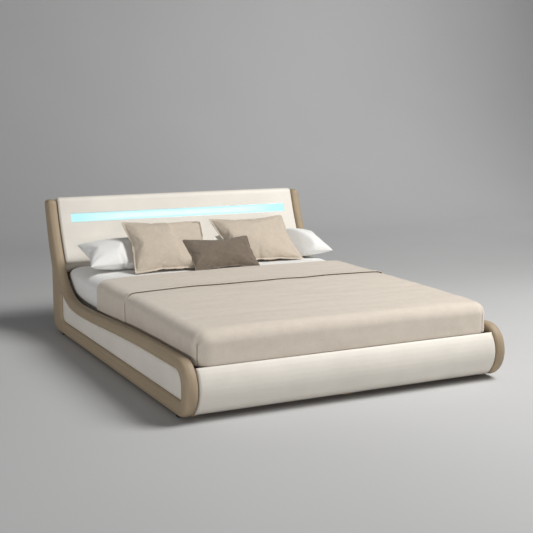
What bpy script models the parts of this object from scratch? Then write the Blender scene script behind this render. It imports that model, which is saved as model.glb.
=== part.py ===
"""Low upholstered storage bed, dressed, with a gas-sprung lift-up mattress base.

Metres, +Z up. The foot end faces -Y, the headboard stands at +Y, and the bed stands on
the floor at z = 0 with its origin under the middle of its outline. Inside the functions,
y is measured from the front of the foot nose, and one empty moves the whole bed to its origin.
"""
import math

import bmesh
import bpy
from mathutils import Matrix, Vector

# Gaps, cuts and the fineness of curves
TOUCH = 0.0003
OVERRUN = 0.004
WELD = 0.00001
CREASE = math.radians(35)
ROUND = 20
CORNER_STEPS = 3
NOSE_STEPS = 12
RAIL_STEPS = 10
SWEEP_STEPS = 2

# Mattress and the room round it
MATTRESS_WIDTH = 1.520
MATTRESS_LENGTH = 2.000
MATTRESS_THICKNESS = 0.206
MATTRESS_EDGE = 0.040
MATTRESS_CORNER = 0.048
SIDE_CLEARANCE = 0.040
FOOT_CLEARANCE = 0.012
EDGE_SAG = 0.008
FOOT_SAG = 0.014
SAG_LENGTH = 1.000
SAG_ZONE = 0.060
BEDDING_STRIPS = 7
STRIP_SHARES = (-0.84, -0.56, 0.0, 0.56, 0.84)

# Side frames, each a padded band bent into one closed loop
FRAME_THICKNESS = 0.060
FRAME_EDGE = 0.010
NOSE_DEPTH = 0.120
RAIL_TOP = 0.280
RAIL_DIP = 0.039
RAIL_EASE = 1.5
TOP_BAND = 0.060
BOTTOM_BAND = 0.076
SWEEP_RUN = 0.392
HEADBOARD_REACH = 0.128
HEADBOARD_TOP = 0.787
HEADBOARD_FRONT_DROP = 0.022
HEADBOARD_BACK_DROP = 0.025
HEADBOARD_CORNER = 0.018
SWEEP_SHARES = (
    (0.0, 0.0), (0.25, 0.021), (0.442, 0.092), (0.577, 0.183), (0.673, 0.288),
    (0.746, 0.408), (0.827, 0.561), (0.904, 0.733), (0.958, 0.876), (1.0, 1.0),
)
POST_REACH = 0.094
BACK_REACH = 0.221
BACK_KINK = 0.375
BACK_SHARES = (
    (1.0, 1.0), (0.882, 0.84), (0.717, 0.646), (0.52, 0.426), (0.268, 0.22), (0.071, 0.078), (0.0, 0.0),
)
POST_CORNER = 0.100
OPENING_FRONT = 0.088
OPENING_NOSE_DEPTH = 0.062
OPENING_NOSE_RISE = 0.060
OPENING_FOOT_CORNER = 0.025
OPENING_REAR_INSET = 0.090
OPENING_REAR_CORNER = 0.042
OPENING_APEX = 0.008
SIDE_PANEL_RECESS = 0.012
SIDE_PANEL_EDGE = 0.003

# Foot end
FOOT_PANEL_INSET = 0.003
FOOT_LIP_DEPTH = 0.050
FOOT_LIP_ROUND = 0.0045
FOOT_BASE_DEPTH = 0.085
FOOT_PANEL_EDGE = 0.004
FOOT_SHELF_DROP = 0.005
FOOT_BOARD = 0.015

# Low frame, floor and feet
GLIDE_HEIGHT = 0.012
GLIDE_RADIUS = 0.018
GLIDE_CHAMFER = 0.003
GLIDE_END_INSET = 0.160
LEDGER_WIDTH = 0.025
LEDGER_HEIGHT = 0.0217
BEAM_WIDTH = 0.060
FLOOR_BOARD = 0.012
FLOOR_EDGE_GAP = 0.003
STORAGE_DEPTH = 0.1037
SUPPORT_RAIL_WIDTH = 0.045
SUPPORT_RAIL_HEIGHT = 0.032
SUPPORT_RAIL_STUD_GAP = 0.150
WOOD_EDGE = 0.002

# Headboard
PAD_PROUD = 0.004
PAD_RISE = 0.012
PAD_SIDE_GAP = 0.003
PAD_EDGE = 0.012
PAD_TOP_CORNER = 0.020
PAD_FOOT_CORNER = 0.018
PAD_ABOVE_SHEET = 0.020
BACK_PANEL = 0.018
BACK_RECESS = 0.003
HEAD_RAIL_TOP = 0.395
SOCKET_FROM_SIDE = 0.200
SOCKET_HEIGHT = 0.320
SOCKET_RADIUS = 0.008
SOCKET_FLANGE_RADIUS = 0.011
SOCKET_FLANGE = 0.002
SOCKET_BORE = 0.0035
SOCKET_BORE_DEPTH = 0.012

# Light band in the headboard
LED_END_INSET = 0.0725
LED_HEIGHT = 0.056
LED_BELOW_TOP = 0.120
LED_DEPTH = 0.020
LED_WALL = 0.0015
LED_FRONT_RECESS = 0.0015
DIFFUSER = 0.003
STRIP_WIDTH = 0.010
STRIP = 0.0012

# Lifting base
TUBE = 0.030
TUBE_EDGE = 0.003
FRAME_SIDE_INSET = 0.030
FRAME_FOOT_INSET = 0.006
FRAME_HEAD_INSET = 0.042
SLAT_COUNT = 11
SLAT_WIDTH = 0.070
SLAT_THICKNESS = 0.012
SLAT_BEARING = 0.022
SLAT_END_INSET = 0.085
SLAT_EDGE = 0.003
STRIP_RAIL_WIDTH = 0.032
STRIP_RAIL_INSET = 0.002
STRIP_BASE = 0.002
STRIP_LIP = 0.0027
SLAT_POCKET_GAP = 0.0005

# Hinge, arm and gas strut at each side
PIVOT_INSET = 0.030
PIVOT_RISE = 0.1324
PIVOT_RADIUS = 0.007
PIVOT_END = 0.0038
PLATE_THICKNESS = 0.004
PLATE_RADIUS = 0.027
BOLT_RADIUS = 0.007
BOLT_HEAD = 0.004
BOLT_SHARES = (0.30, 0.48, 0.66)
ARM_THICKNESS = 0.006
ARM_WIDTH = 0.040
ARM_FOOT_REACH = 0.360
ARM_FOOT_HEIGHT = 0.028
ARM_FILLET = 0.030
ARM_CORNER = 0.012
BORE_CLEARANCE = 0.0003
STUD_RADIUS = 0.005
STUD_LENGTH = 0.0165
ANCHOR_DROP = 0.245
STRUT_REACH = 0.332
STRUT_PLANE = 0.013
CYLINDER_RADIUS = 0.008
CYLINDER_LENGTH = 0.200
CYLINDER_BORE = 0.0045
CYLINDER_BASE = 0.012
CYLINDER_END = 0.018
NECK_RADIUS = 0.004
ROD_RADIUS = 0.004
ROD_LENGTH = 0.280
EYE_THICKNESS = 0.012
ANCHOR_EYE_RADIUS = 0.011
ROD_EYE_RADIUS = 0.0138
ROD_EYE_CLEARANCE = 0.0042

# Bedding
SHEET = 0.0018
SHEET_HEM = 0.004
DUVET = 0.009
DUVET_SIDE_CLEARANCE = 0.0095
DUVET_FOOT_CLEARANCE = 0.0005
DUVET_DROP = 0.169
DUVET_HEAD_INSET = 0.587
DUVET_EDGE = 0.050
DUVET_CORNER = 0.056
TURN_DOWN_FROM_HEAD = 1.062
TURN_DOWN_STEP = 0.005
TURN_DOWN_RAMP = 0.020

# Pillows and cushions, each placed by the middle of its lower seam
PILLOW_WIDTH = 0.680
PILLOW_HEIGHT = 0.330
PILLOW_CROWN = 0.172
PILLOW_LIFT = 0.028
LEFT_PILLOW_X = -0.372
RIGHT_PILLOW_X = 0.462
PILLOW_FROM_HEAD = 0.419
PILLOW_LEAN = math.radians(75)
PILLOW_TURN = math.radians(-3)
CUSHION_WIDTH = 0.490
CUSHION_HEIGHT = 0.370
CUSHION_CROWN = 0.125
CUSHION_FLANGE = 0.012
LEFT_CUSHION_X = -0.292
LEFT_CUSHION_FROM_HEAD = 0.514
LEFT_CUSHION_LEAN = math.radians(45)
LEFT_CUSHION_TURN = math.radians(-3)
RIGHT_CUSHION_X = 0.334
RIGHT_CUSHION_FROM_HEAD = 0.435
RIGHT_CUSHION_LEAN = math.radians(49)
RIGHT_CUSHION_TURN = math.radians(2)
LUMBAR_WIDTH = 0.425
LUMBAR_HEIGHT = 0.240
LUMBAR_CROWN = 0.095
LUMBAR_FLANGE = 0.006
LUMBAR_X = 0.018
LUMBAR_FROM_HEAD = 0.567
LUMBAR_LEAN = math.radians(48)
LUMBAR_TURN = math.radians(1)
SEAM = 0.004
SEAM_LIFT = 0.0015
SIDE_DRAW_SHARE = 0.06
PRESS_DEPTH = 0.046
LUMBAR_PRESS_DEPTH = 0.034
LUMBAR_PRESS_TURN = math.radians(15)
CUSHION_COLUMNS = 12
CUSHION_ROWS = 10

# Levels, from the floor up
frame_bottom = GLIDE_HEIGHT
ledger_bottom = frame_bottom + TOUCH
ledger_top = ledger_bottom + LEDGER_HEIGHT
floor_bottom = ledger_top + TOUCH
floor_top = floor_bottom + FLOOR_BOARD
lift_bottom = floor_top + STORAGE_DEPTH
lift_top = lift_bottom + TUBE
strip_bottom = lift_top + TOUCH
slat_bottom = strip_bottom + STRIP_BASE + TOUCH
slat_top = slat_bottom + SLAT_THICKNESS
strip_top = slat_top + STRIP_LIP
mattress_bottom = strip_top + TOUCH
mattress_top = mattress_bottom + MATTRESS_THICKNESS
sheet_top = mattress_top + TOUCH + SHEET
duvet_top = sheet_top + TOUCH + DUVET
duvet_hem = duvet_top - DUVET_DROP
pad_bottom = sheet_top + PAD_ABOVE_SHEET
pad_top = HEADBOARD_TOP + PAD_RISE
front_top = HEADBOARD_TOP - HEADBOARD_FRONT_DROP
back_top = HEADBOARD_TOP - HEADBOARD_BACK_DROP
nose_middle = (frame_bottom + RAIL_TOP) / 2
nose_half = (RAIL_TOP - frame_bottom) / 2
rail_low = RAIL_TOP - RAIL_DIP
opening_bottom = frame_bottom + BOTTOM_BAND

# Places along the bed, from the front of the nose
mattress_foot = FOOT_LIP_DEPTH + FOOT_CLEARANCE
mattress_head = mattress_foot + MATTRESS_LENGTH
pivot_y = mattress_head - PIVOT_INSET
pivot_z = mattress_bottom + PIVOT_RISE
anchor_y = pivot_y
anchor_z = pivot_z - ANCHOR_DROP
stud_y = pivot_y - STRUT_REACH
stud_z = lift_bottom + TUBE / 2
support_rail_end = stud_y - SUPPORT_RAIL_STUD_GAP
sweep_start = mattress_head - SWEEP_RUN
sweep_end = mattress_head + HEADBOARD_REACH
post_back = mattress_head + POST_REACH
bed_length = mattress_head + BACK_REACH
opening_rear = mattress_head - OPENING_REAR_INSET
head_rail_back = post_back - BACK_RECESS
head_rail_front = head_rail_back - BACK_PANEL
box_front = FOOT_BASE_DEPTH + TOUCH + FOOT_BOARD + TOUCH
box_rear = head_rail_front - TOUCH
frame_foot = mattress_foot + FRAME_FOOT_INSET
frame_head = mattress_head - FRAME_HEAD_INSET

# Places across the bed, from its middle
mattress_side = MATTRESS_WIDTH / 2
inner_face = mattress_side + SIDE_CLEARANCE
outer_face = inner_face + FRAME_THICKNESS
board_side = inner_face - TOUCH
frame_side = inner_face - FRAME_SIDE_INSET
arm_inner = frame_side + TOUCH
arm_outer = arm_inner + ARM_THICKNESS
plate_inner = board_side - PLATE_THICKNESS
strut_x = inner_face - STRUT_PLANE
socket_x = inner_face - SOCKET_FROM_SIDE
led_end = inner_face - LED_END_INSET
strip_outer = frame_side - STRIP_RAIL_INSET
strip_inner = strip_outer - STRIP_RAIL_WIDTH
slat_end = strip_inner + SLAT_BEARING

# A clear scene, two collections and the empties that carry the pieces
for old in list(bpy.data.objects):
    bpy.data.objects.remove(old, do_unlink=True)
parts = bpy.data.collections.new("upholstered storage bed")
cutters = bpy.data.collections.new("cutters")
for collection in (parts, cutters):
    bpy.context.scene.collection.children.link(collection)


def empty(name, place, holder=None, turn=0.0):
    """An empty that carries pieces, turned about X."""
    item = bpy.data.objects.new(name, None)
    parts.objects.link(item)
    item.location = place
    item.rotation_euler = (turn, 0.0, 0.0)
    item.empty_display_size = TUBE
    item.parent = holder
    return item


def finish(name, colour, roughness, metallic=0.0, glow=0.0):
    """One plain finish; glow is the strength of light that the surface gives off."""
    material = bpy.data.materials.new(name)
    material.use_nodes = True
    shader = material.node_tree.nodes["Principled BSDF"]
    shader.inputs["Base Color"].default_value = (*colour, 1.0)
    shader.inputs["Roughness"].default_value = roughness
    shader.inputs["Metallic"].default_value = metallic
    if glow:
        shader.inputs["Emission Color"].default_value = (*colour, 1.0)
        shader.inputs["Emission Strength"].default_value = glow
    material.diffuse_color = (*colour, 1.0)
    return material


bed_origin = empty("bed_origin", (0.0, -bed_length / 2, 0.0))
lift_hinge = empty("lift_hinge", (0.0, pivot_y, pivot_z), bed_origin)

taupe_leather = finish("taupe leather", (0.39, 0.31, 0.21), 0.55)
cream_leather = finish("cream leather", (0.82, 0.77, 0.70), 0.45)
white_cotton = finish("white cotton", (0.84, 0.83, 0.80), 0.85)
ivory_ticking = finish("ivory mattress ticking", (0.76, 0.73, 0.66), 0.85)
duvet_cotton = finish("sand duvet cotton", (0.63, 0.56, 0.47), 0.85)
sand_linen = finish("sand linen", (0.58, 0.48, 0.37), 0.90)
dark_linen = finish("dark taupe linen", (0.20, 0.155, 0.115), 0.90)
birch = finish("lacquered birch", (0.62, 0.44, 0.26), 0.50)
plywood = finish("raw plywood", (0.50, 0.36, 0.22), 0.70)
black_steel = finish("black powder-coated steel", (0.03, 0.03, 0.03), 0.45, 0.3)
polished_rod = finish("polished chrome rod", (0.75, 0.76, 0.78), 0.12, 1.0)
aluminium = finish("anodised aluminium", (0.72, 0.73, 0.75), 0.35, 1.0)
aqua_light = finish("diffuser lit aqua", (0.35, 0.90, 0.93), 0.50, 0.0, 3.0)
strip_board = finish("light strip board", (0.85, 0.85, 0.82), 0.60)
black_plastic = finish("black plastic", (0.02, 0.02, 0.02), 0.50)
grey_rubber = finish("grey rubber", (0.12, 0.12, 0.12), 0.80)


def link_mesh(name, mesh, collection, material=None):
    """A new object for a mesh, carried by the empty at the bed's origin."""
    item = bpy.data.objects.new(name, mesh)
    collection.objects.link(item)
    item.parent = bed_origin
    if material:
        mesh.materials.clear()
        mesh.materials.append(material)
    return item


def from_bmesh(name, bm, collection, material=None):
    """Write a bmesh to a new object, smooth except at its creases."""
    mesh = bpy.data.meshes.new(name)
    bm.to_mesh(mesh)
    bm.free()
    mesh.shade_smooth()
    mesh.set_sharp_from_angle(angle=CREASE)
    return link_mesh(name, mesh, collection, material)


def carry(item, holder):
    """Hand a piece to the empty on its joint, without moving it."""
    item.parent = holder
    item.location = item.location - holder.location
    return item


def box_between(low, high):
    """A box between two corners as a bmesh."""
    low = Vector(low)
    high = Vector(high)
    bm = bmesh.new()
    bmesh.ops.create_cube(bm, size=1.0)
    bmesh.ops.scale(bm, vec=high - low, verts=bm.verts)
    bmesh.ops.translate(bm, vec=(low + high) / 2, verts=bm.verts)
    return bm


def ease(item, width, segments=1):
    """Bevel the sharp edges of a piece."""
    bevel = item.modifiers.new("eased edges", "BEVEL")
    bevel.width = width
    bevel.segments = segments
    bevel.limit_method = "ANGLE"


def block(name, low, high, material, edge=0.0):
    """A box between two corners, with its origin in its middle and its edges eased."""
    middle = (Vector(low) + Vector(high)) / 2
    item = from_bmesh(name, box_between(Vector(low) - middle, Vector(high) - middle), parts, material)
    item.location = middle
    if edge:
        ease(item, edge)
    return item


def plate_mesh(name, loops, thickness, edge=0.0, steps=0, shrink=0.0):
    """Fill closed flat loops, the first outside and the rest holes, to a thickness."""
    curve = bpy.data.curves.new(name, "CURVE")
    curve.dimensions = "2D"
    curve.fill_mode = "BOTH"
    for points in loops:
        spline = curve.splines.new("POLY")
        spline.points.add(len(points) - 1)
        for knot, (u, v) in zip(spline.points, points):
            knot.co = (u, v, 0.0, 1.0)
        spline.use_cyclic_u = True
    curve.extrude = thickness / 2 - edge
    curve.bevel_depth = edge
    curve.bevel_resolution = steps
    curve.offset = -edge - shrink
    guide = bpy.data.objects.new(name, curve)
    cutters.objects.link(guide)
    bpy.context.view_layer.update()
    evaluated = guide.evaluated_get(bpy.context.evaluated_depsgraph_get())
    mesh = bpy.data.meshes.new_from_object(evaluated)
    bpy.data.objects.remove(guide)
    bm = bmesh.new()
    bm.from_mesh(mesh)
    bmesh.ops.remove_doubles(bm, verts=bm.verts, dist=WELD)
    bm.to_mesh(mesh)
    bm.free()
    mesh.name = name
    mesh.shade_smooth()
    mesh.set_sharp_from_angle(angle=CREASE)
    return mesh


def section(name, loops, x_ends, material, edge=0.0, steps=0, shrink=0.0):
    """A solid with one (y, z) outline all along X, between two x places."""
    mesh = plate_mesh(name, loops, abs(x_ends[1] - x_ends[0]), edge, steps, shrink)
    item = link_mesh(name, mesh, parts, material)
    item.rotation_euler = (math.pi / 2, 0.0, math.pi / 2)
    item.location = ((x_ends[0] + x_ends[1]) / 2, 0.0, 0.0)
    return item


def combine(item, bm, operation):
    """Join a piece with a tool, or cut it, the tool being given in the bed's own places."""
    tool = from_bmesh(f"{item.name} {operation.lower()} tool", bm, cutters)
    tool.hide_render = True
    tool.display_type = "WIRE"
    boolean = item.modifiers.new(operation.lower(), "BOOLEAN")
    boolean.operation = operation
    boolean.object = tool
    boolean.solver = "EXACT"
    return tool


def bar(start, end, radius, sides=ROUND):
    """A straight round bar between two points as a bmesh."""
    start = Vector(start)
    end = Vector(end)
    bm = bmesh.new()
    turn = (end - start).to_track_quat("Z", "Y").to_matrix().to_4x4()
    bmesh.ops.create_cone(
        bm, cap_ends=True, segments=sides, radius1=radius, radius2=radius,
        depth=(end - start).length, matrix=Matrix.Translation((start + end) / 2) @ turn,
    )
    return bm


def gather(pieces):
    """Several closed bmeshes as one, for a single cut or join."""
    whole = bmesh.new()
    for bm in pieces:
        mesh = bpy.data.meshes.new("tool piece")
        bm.to_mesh(mesh)
        bm.free()
        whole.from_mesh(mesh)
        bpy.data.meshes.remove(mesh)
    return whole


def arc(middle, radii, start, end, steps):
    """Points along part of an ellipse, its angles in degrees."""
    points = []
    for i in range(steps + 1):
        angle = math.radians(start + (end - start) * i / steps)
        points.append((middle[0] + radii[0] * math.cos(angle), middle[1] + radii[1] * math.sin(angle)))
    return points


def rounded(corners, steps=CORNER_STEPS):
    """A closed outline from corners (u, v, radius), each rounded by an arc of that radius."""
    points = []
    for i, (u, v, radius) in enumerate(corners):
        here = Vector((u, v))
        if not radius:
            points.append((u, v))
            continue
        back = (Vector(corners[i - 1][:2]) - here).normalized()
        on = (Vector(corners[(i + 1) % len(corners)][:2]) - here).normalized()
        half = back.angle(on) / 2
        middle = here + (back + on).normalized() * radius / math.sin(half)
        spoke = here + back * radius / math.tan(half) - middle
        turn = math.copysign(math.pi - 2 * half, on.cross(back))
        for k in range(steps + 1):
            angle = turn * k / steps
            reach = Matrix.Rotation(angle, 2) @ spoke
            points.append(tuple(middle + reach))
    return points


def smooth_line(points, steps=SWEEP_STEPS):
    """A curve through points, evened between them."""
    line = [Vector(p) for p in points]
    line = [2 * line[0] - line[1], *line, 2 * line[-1] - line[-2]]
    curve = []
    for a, b, c, d in zip(line, line[1:], line[2:], line[3:]):
        for i in range(steps):
            t = i / steps
            square = (2 * a - 5 * b + 4 * c - d) * t ** 2
            cube = (3 * b - a - 3 * c + d) * t ** 3
            curve.append((2 * b + (c - a) * t + square + cube) / 2)
    curve.append(line[-2])
    return [tuple(p) for p in curve]


def beside(line, distance):
    """A line beside another, to the right of its way, at an even distance."""
    moved = []
    for i, (u, v) in enumerate(line):
        before = Vector(line[max(i - 1, 0)])
        after = Vector(line[min(i + 1, len(line) - 1)])
        way = (after - before).normalized()
        moved.append((u + way.y * distance, v - way.x * distance))
    return moved


def trim(line, low, high):
    """The part of a rising or falling line between two levels, cut exactly at both."""
    kept = []
    for (u0, v0), (u1, v1) in zip(line, line[1:]):
        if not kept and min(v0, v1) <= low <= max(v0, v1) and v1 != v0:
            kept.append((u0 + (u1 - u0) * (low - v0) / (v1 - v0), low))
        if kept and low < v1 < high:
            kept.append((u1, v1))
        if kept and v1 >= high:
            kept.append((u0 + (u1 - u0) * (high - v0) / (v1 - v0), high))
            break
    return kept


def clear_ends(line, reach):
    """A line without the points that crowd its two ends."""
    first = Vector(line[0])
    last = Vector(line[-1])
    inner = [p for p in line[1:-1] if min((Vector(p) - first).length, (Vector(p) - last).length) > reach]
    return [line[0], *inner, line[-1]]


def rail_level(y):
    """Height of a side frame's upper edge between its nose and its sweep."""
    share = (y - NOSE_DEPTH) / (sweep_start - NOSE_DEPTH)
    return rail_low + RAIL_DIP * (1 + math.cos(math.pi * share ** RAIL_EASE)) / 2


def rail_line():
    """The upper edge of a side frame, from its nose to the start of its sweep."""
    span = sweep_start - NOSE_DEPTH
    places = [NOSE_DEPTH + span * i / RAIL_STEPS for i in range(RAIL_STEPS)]
    return [(y, rail_level(y)) for y in places]


def sweep_line():
    """The front edge of a side frame, from the rail up to the top of the headboard."""
    run = sweep_end - sweep_start
    rise = front_top - rail_low
    return smooth_line([(sweep_start + u * run, rail_low + v * rise) for u, v in SWEEP_SHARES])


def back_line():
    """The back edge of a side frame, from its post up to the top of the headboard."""
    run = bed_length - post_back
    rise = back_top - BACK_KINK
    falling = smooth_line([(post_back + u * run, BACK_KINK + v * rise) for u, v in BACK_SHARES])
    return falling[::-1]


def frame_outline():
    """The outside of a side frame, from the bottom of its nose over the top and round."""
    top = HEADBOARD_TOP - HEADBOARD_CORNER
    radii = (HEADBOARD_CORNER, HEADBOARD_CORNER)
    points = arc((NOSE_DEPTH, nose_middle), (NOSE_DEPTH, nose_half), 270, 90, NOSE_STEPS)[:-1]
    points += rail_line()
    points += sweep_line()
    points += arc((sweep_end + HEADBOARD_CORNER, top), radii, 160, 90, CORNER_STEPS)
    points += arc((bed_length - HEADBOARD_CORNER, top), radii, 90, 0, CORNER_STEPS)
    points += back_line()[::-1]
    radii = (POST_CORNER, POST_CORNER)
    points += arc((post_back - POST_CORNER, frame_bottom + POST_CORNER), radii, 0, -90, 6)
    return points


def opening_outline():
    """The opening in a side frame, which the recessed side panel fills."""
    nose = (OPENING_FRONT + OPENING_NOSE_DEPTH, RAIL_TOP - TOP_BAND - OPENING_NOSE_RISE)
    upper = arc(nose, (OPENING_NOSE_DEPTH, OPENING_NOSE_RISE), 180, 90, 5)
    upper += [(y, z - TOP_BAND) for y, z in rail_line() if y > upper[-1][0]]
    under_sweep = beside(sweep_line(), TOP_BAND)
    clear = [(y, z) for y, z in under_sweep if y < opening_rear - 2 * OPENING_APEX]
    beyond = under_sweep[len(clear)]
    last = under_sweep[len(clear) - 1]
    share = (opening_rear - last[0]) / (beyond[0] - last[0])
    apex = (opening_rear, last[1] + (beyond[1] - last[1]) * share)
    corners = [(y, z, 0.0) for y, z in upper + clear]
    corners.append((*apex, OPENING_APEX))
    corners.append((opening_rear, opening_bottom, OPENING_REAR_CORNER))
    corners.append((OPENING_FRONT, opening_bottom, OPENING_FOOT_CORNER))
    return rounded(corners)


def side_frame(side, name):
    """One padded loop: low rail, swept headboard end and straight foot, with its opening."""
    hole = opening_outline()[::-1]
    ends = (side * inner_face, side * outer_face)
    return section(name, [frame_outline(), hole], ends, taupe_leather, FRAME_EDGE, 1)


def side_panel(side, name):
    """The leather panel that fills a side frame's opening, set back from its outer face."""
    ends = (side * inner_face, side * (outer_face - SIDE_PANEL_RECESS))
    return section(name, [opening_outline()], ends, cream_leather, SIDE_PANEL_EDGE, 0, TOUCH)


def foot_panel():
    """The cream foot end between the side frames, with a lip in front of the mattress."""
    radii = (NOSE_DEPTH - FOOT_PANEL_INSET, nose_half - FOOT_PANEL_INSET)
    lip = 180 - math.degrees(math.acos((NOSE_DEPTH - FOOT_LIP_DEPTH) / radii[0]))
    base = 180 + math.degrees(math.acos((NOSE_DEPTH - FOOT_BASE_DEPTH) / radii[0]))
    front = arc((NOSE_DEPTH, nose_middle), radii, base, lip, NOSE_STEPS)
    shelf = lift_bottom - FOOT_SHELF_DROP
    clear = [(y, z, 0.0) for y, z in front[:-1] if z < front[-1][1] - 2 * FOOT_LIP_ROUND]
    corners = clear + [(*front[-1], FOOT_LIP_ROUND)]
    corners.append((FOOT_LIP_DEPTH, shelf, 0.0))
    corners.append((FOOT_BASE_DEPTH, shelf, 0.0))
    ends = (-board_side, board_side)
    return section("foot_panel", [rounded(corners)], ends, cream_leather, FOOT_PANEL_EDGE, 1)


def low_frame():
    """Foot board, ledgers, centre beam, floor panels, support rails and head rail."""
    front = FOOT_BASE_DEPTH + TOUCH
    board_top = lift_bottom - TOUCH
    block(
        "foot_board", (-board_side, front, floor_bottom), (board_side, front + FOOT_BOARD, board_top),
        plywood, WOOD_EDGE,
    )
    beam = BEAM_WIDTH / 2
    block("centre_beam", (-beam, box_front, ledger_bottom), (beam, box_rear, ledger_top), birch, WOOD_EDGE)
    for side, word in ((-1, "left"), (1, "right")):
        outer = side * board_side
        ledger_inner = outer - side * LEDGER_WIDTH
        rail_inner = outer - side * SUPPORT_RAIL_WIDTH
        panel_outer = side * (inner_face - FLOOR_EDGE_GAP)
        rail_bottom = board_top - SUPPORT_RAIL_HEIGHT
        block(
            f"floor_ledger_{word}", (min(outer, ledger_inner), box_front, ledger_bottom),
            (max(outer, ledger_inner), box_rear, ledger_top), birch, WOOD_EDGE,
        )
        block(
            f"support_rail_{word}", (min(outer, rail_inner), box_front, rail_bottom),
            (max(outer, rail_inner), support_rail_end, board_top), birch, WOOD_EDGE,
        )
        block(
            f"floor_panel_{word}", (min(side * TOUCH, panel_outer), box_front, floor_bottom),
            (max(side * TOUCH, panel_outer), box_rear, floor_top), plywood,
        )


def head_rail():
    """The covered board between the side frames behind the mattress, bored for the socket."""
    item = block(
        "head_rail", (-board_side, head_rail_front, ledger_bottom),
        (board_side, head_rail_back, HEAD_RAIL_TOP), taupe_leather,
    )
    start = (socket_x, head_rail_front - OVERRUN, SOCKET_HEIGHT)
    end = (socket_x, head_rail_back + OVERRUN, SOCKET_HEIGHT)
    combine(item, bar(start, end, SOCKET_RADIUS + TOUCH), "DIFFERENCE")
    return item


def power_socket():
    """The light band's round power inlet, flanged on the back of the head rail."""
    place = Vector((socket_x, 0.0, SOCKET_HEIGHT))
    back = head_rail_back + TOUCH + SOCKET_FLANGE
    inner = Vector((0.0, head_rail_front, 0.0))
    outer = Vector((0.0, back, 0.0))
    flange = Vector((0.0, back - SOCKET_FLANGE, 0.0))
    bore = Vector((0.0, back - SOCKET_BORE_DEPTH, 0.0))
    over = Vector((0.0, OVERRUN, 0.0))
    body = bar(place + inner, place + (flange + outer) / 2, SOCKET_RADIUS)
    item = from_bmesh("power_socket", body, parts, black_plastic)
    combine(item, bar(place + flange, place + outer, SOCKET_FLANGE_RADIUS), "UNION")
    combine(item, bar(place + bore, place + outer + over, SOCKET_BORE), "DIFFERENCE")
    return item


def headboard_back():
    """The closing panel behind the headboard, bent along its back edge."""
    outer = trim(beside(back_line(), -BACK_RECESS), HEAD_RAIL_TOP + TOUCH, HEADBOARD_TOP - BACK_RECESS)
    if outer[-1][1] < HEADBOARD_TOP - BACK_RECESS - WELD:
        outer.append((outer[-1][0], HEADBOARD_TOP - BACK_RECESS))
    inner = [(y - BACK_PANEL, z) for y, z in outer]
    return section("headboard_back", [inner + outer[::-1]], (-board_side, board_side), taupe_leather)


def pad_front(level):
    """Place and upward direction of the headboard pad's front at a level."""
    line = sweep_line()
    for (y0, z0), (y1, z1) in zip(line, line[1:]):
        if z0 <= level <= z1:
            way = Vector((y1 - y0, z1 - z0)).normalized()
            return Vector((y0 + (y1 - y0) * (level - z0) / (z1 - z0) - PAD_PROUD, level)), way
    raise ValueError("the light band lies above the headboard's front")


def headboard_pad():
    """The cream headboard cushion between the side frames, grooved for its light band."""
    front = [(y - PAD_PROUD, z) for y, z in sweep_line()]
    front = clear_ends(trim(front, pad_bottom, front_top), PAD_FOOT_CORNER)
    back = [(y - BACK_PANEL - TOUCH, z) for y, z in beside(back_line(), -BACK_RECESS)]
    back = clear_ends(trim(back, pad_bottom, back_top), PAD_FOOT_CORNER)
    way = Vector(front[-1]) - Vector(front[-2])
    top_front = front[-1][0] + way.x / way.y * (pad_top - front[-1][1])
    corners = [(*front[0], PAD_FOOT_CORNER)]
    corners += [(y, z, 0.0) for y, z in front[1:-1]]
    corners.append((top_front, pad_top, PAD_TOP_CORNER))
    corners.append((back[-1][0], pad_top, PAD_TOP_CORNER))
    corners += [(y, z, 0.0) for y, z in back[::-1]]
    side = inner_face - PAD_SIDE_GAP
    item = section("headboard_pad", [rounded(corners)], (-side, side), cream_leather, PAD_EDGE, 1)
    groove = band_box(-OVERRUN, LED_DEPTH + TOUCH, LED_HEIGHT / 2 + TOUCH, led_end + TOUCH)
    combine(item, groove, "DIFFERENCE")
    return item


def band_point(depth, up):
    """A (y, z) place in the light band, by its depth behind the pad's face and its rise."""
    middle, way = pad_front(pad_top - LED_BELOW_TOP)
    inward = Vector((way.y, -way.x))
    return tuple(middle + inward * depth + way * up)


def band_box(front, back, half_height, half_length):
    """A box in the light band's leaning directions as a bmesh."""
    bm = box_between((-half_length, front, -half_height), (half_length, back, half_height))
    middle, way = pad_front(pad_top - LED_BELOW_TOP)
    lean = Matrix.Rotation(-math.atan2(way.x, way.y), 4, "X")
    bm.transform(Matrix.Translation((0.0, middle.x, middle.y)) @ lean)
    return bm


def light_band():
    """Channel, light strip and opal diffuser, one behind the other."""
    half = LED_HEIGHT / 2
    wall = half - LED_WALL
    front = LED_FRONT_RECESS
    floor = LED_DEPTH - LED_WALL
    channel = [
        (0.0, -half), (0.0, -wall), (floor, -wall), (floor, wall),
        (0.0, wall), (0.0, half), (LED_DEPTH, half), (LED_DEPTH, -half),
    ]
    ends = (-led_end, led_end)
    section("led_channel", [[band_point(u, v) for u, v in channel]], ends, aluminium)
    cover = wall - TOUCH
    diffuser = [(front, -cover), (front, cover), (front + DIFFUSER, cover), (front + DIFFUSER, -cover)]
    section("led_diffuser", [[band_point(u, v) for u, v in diffuser]], ends, aqua_light)
    back = floor - TOUCH
    strip = STRIP_WIDTH / 2
    board = [(back - STRIP, -strip), (back - STRIP, strip), (back, strip), (back, -strip)]
    section("led_strip", [[band_point(u, v) for u, v in board]], ends, strip_board)


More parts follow.
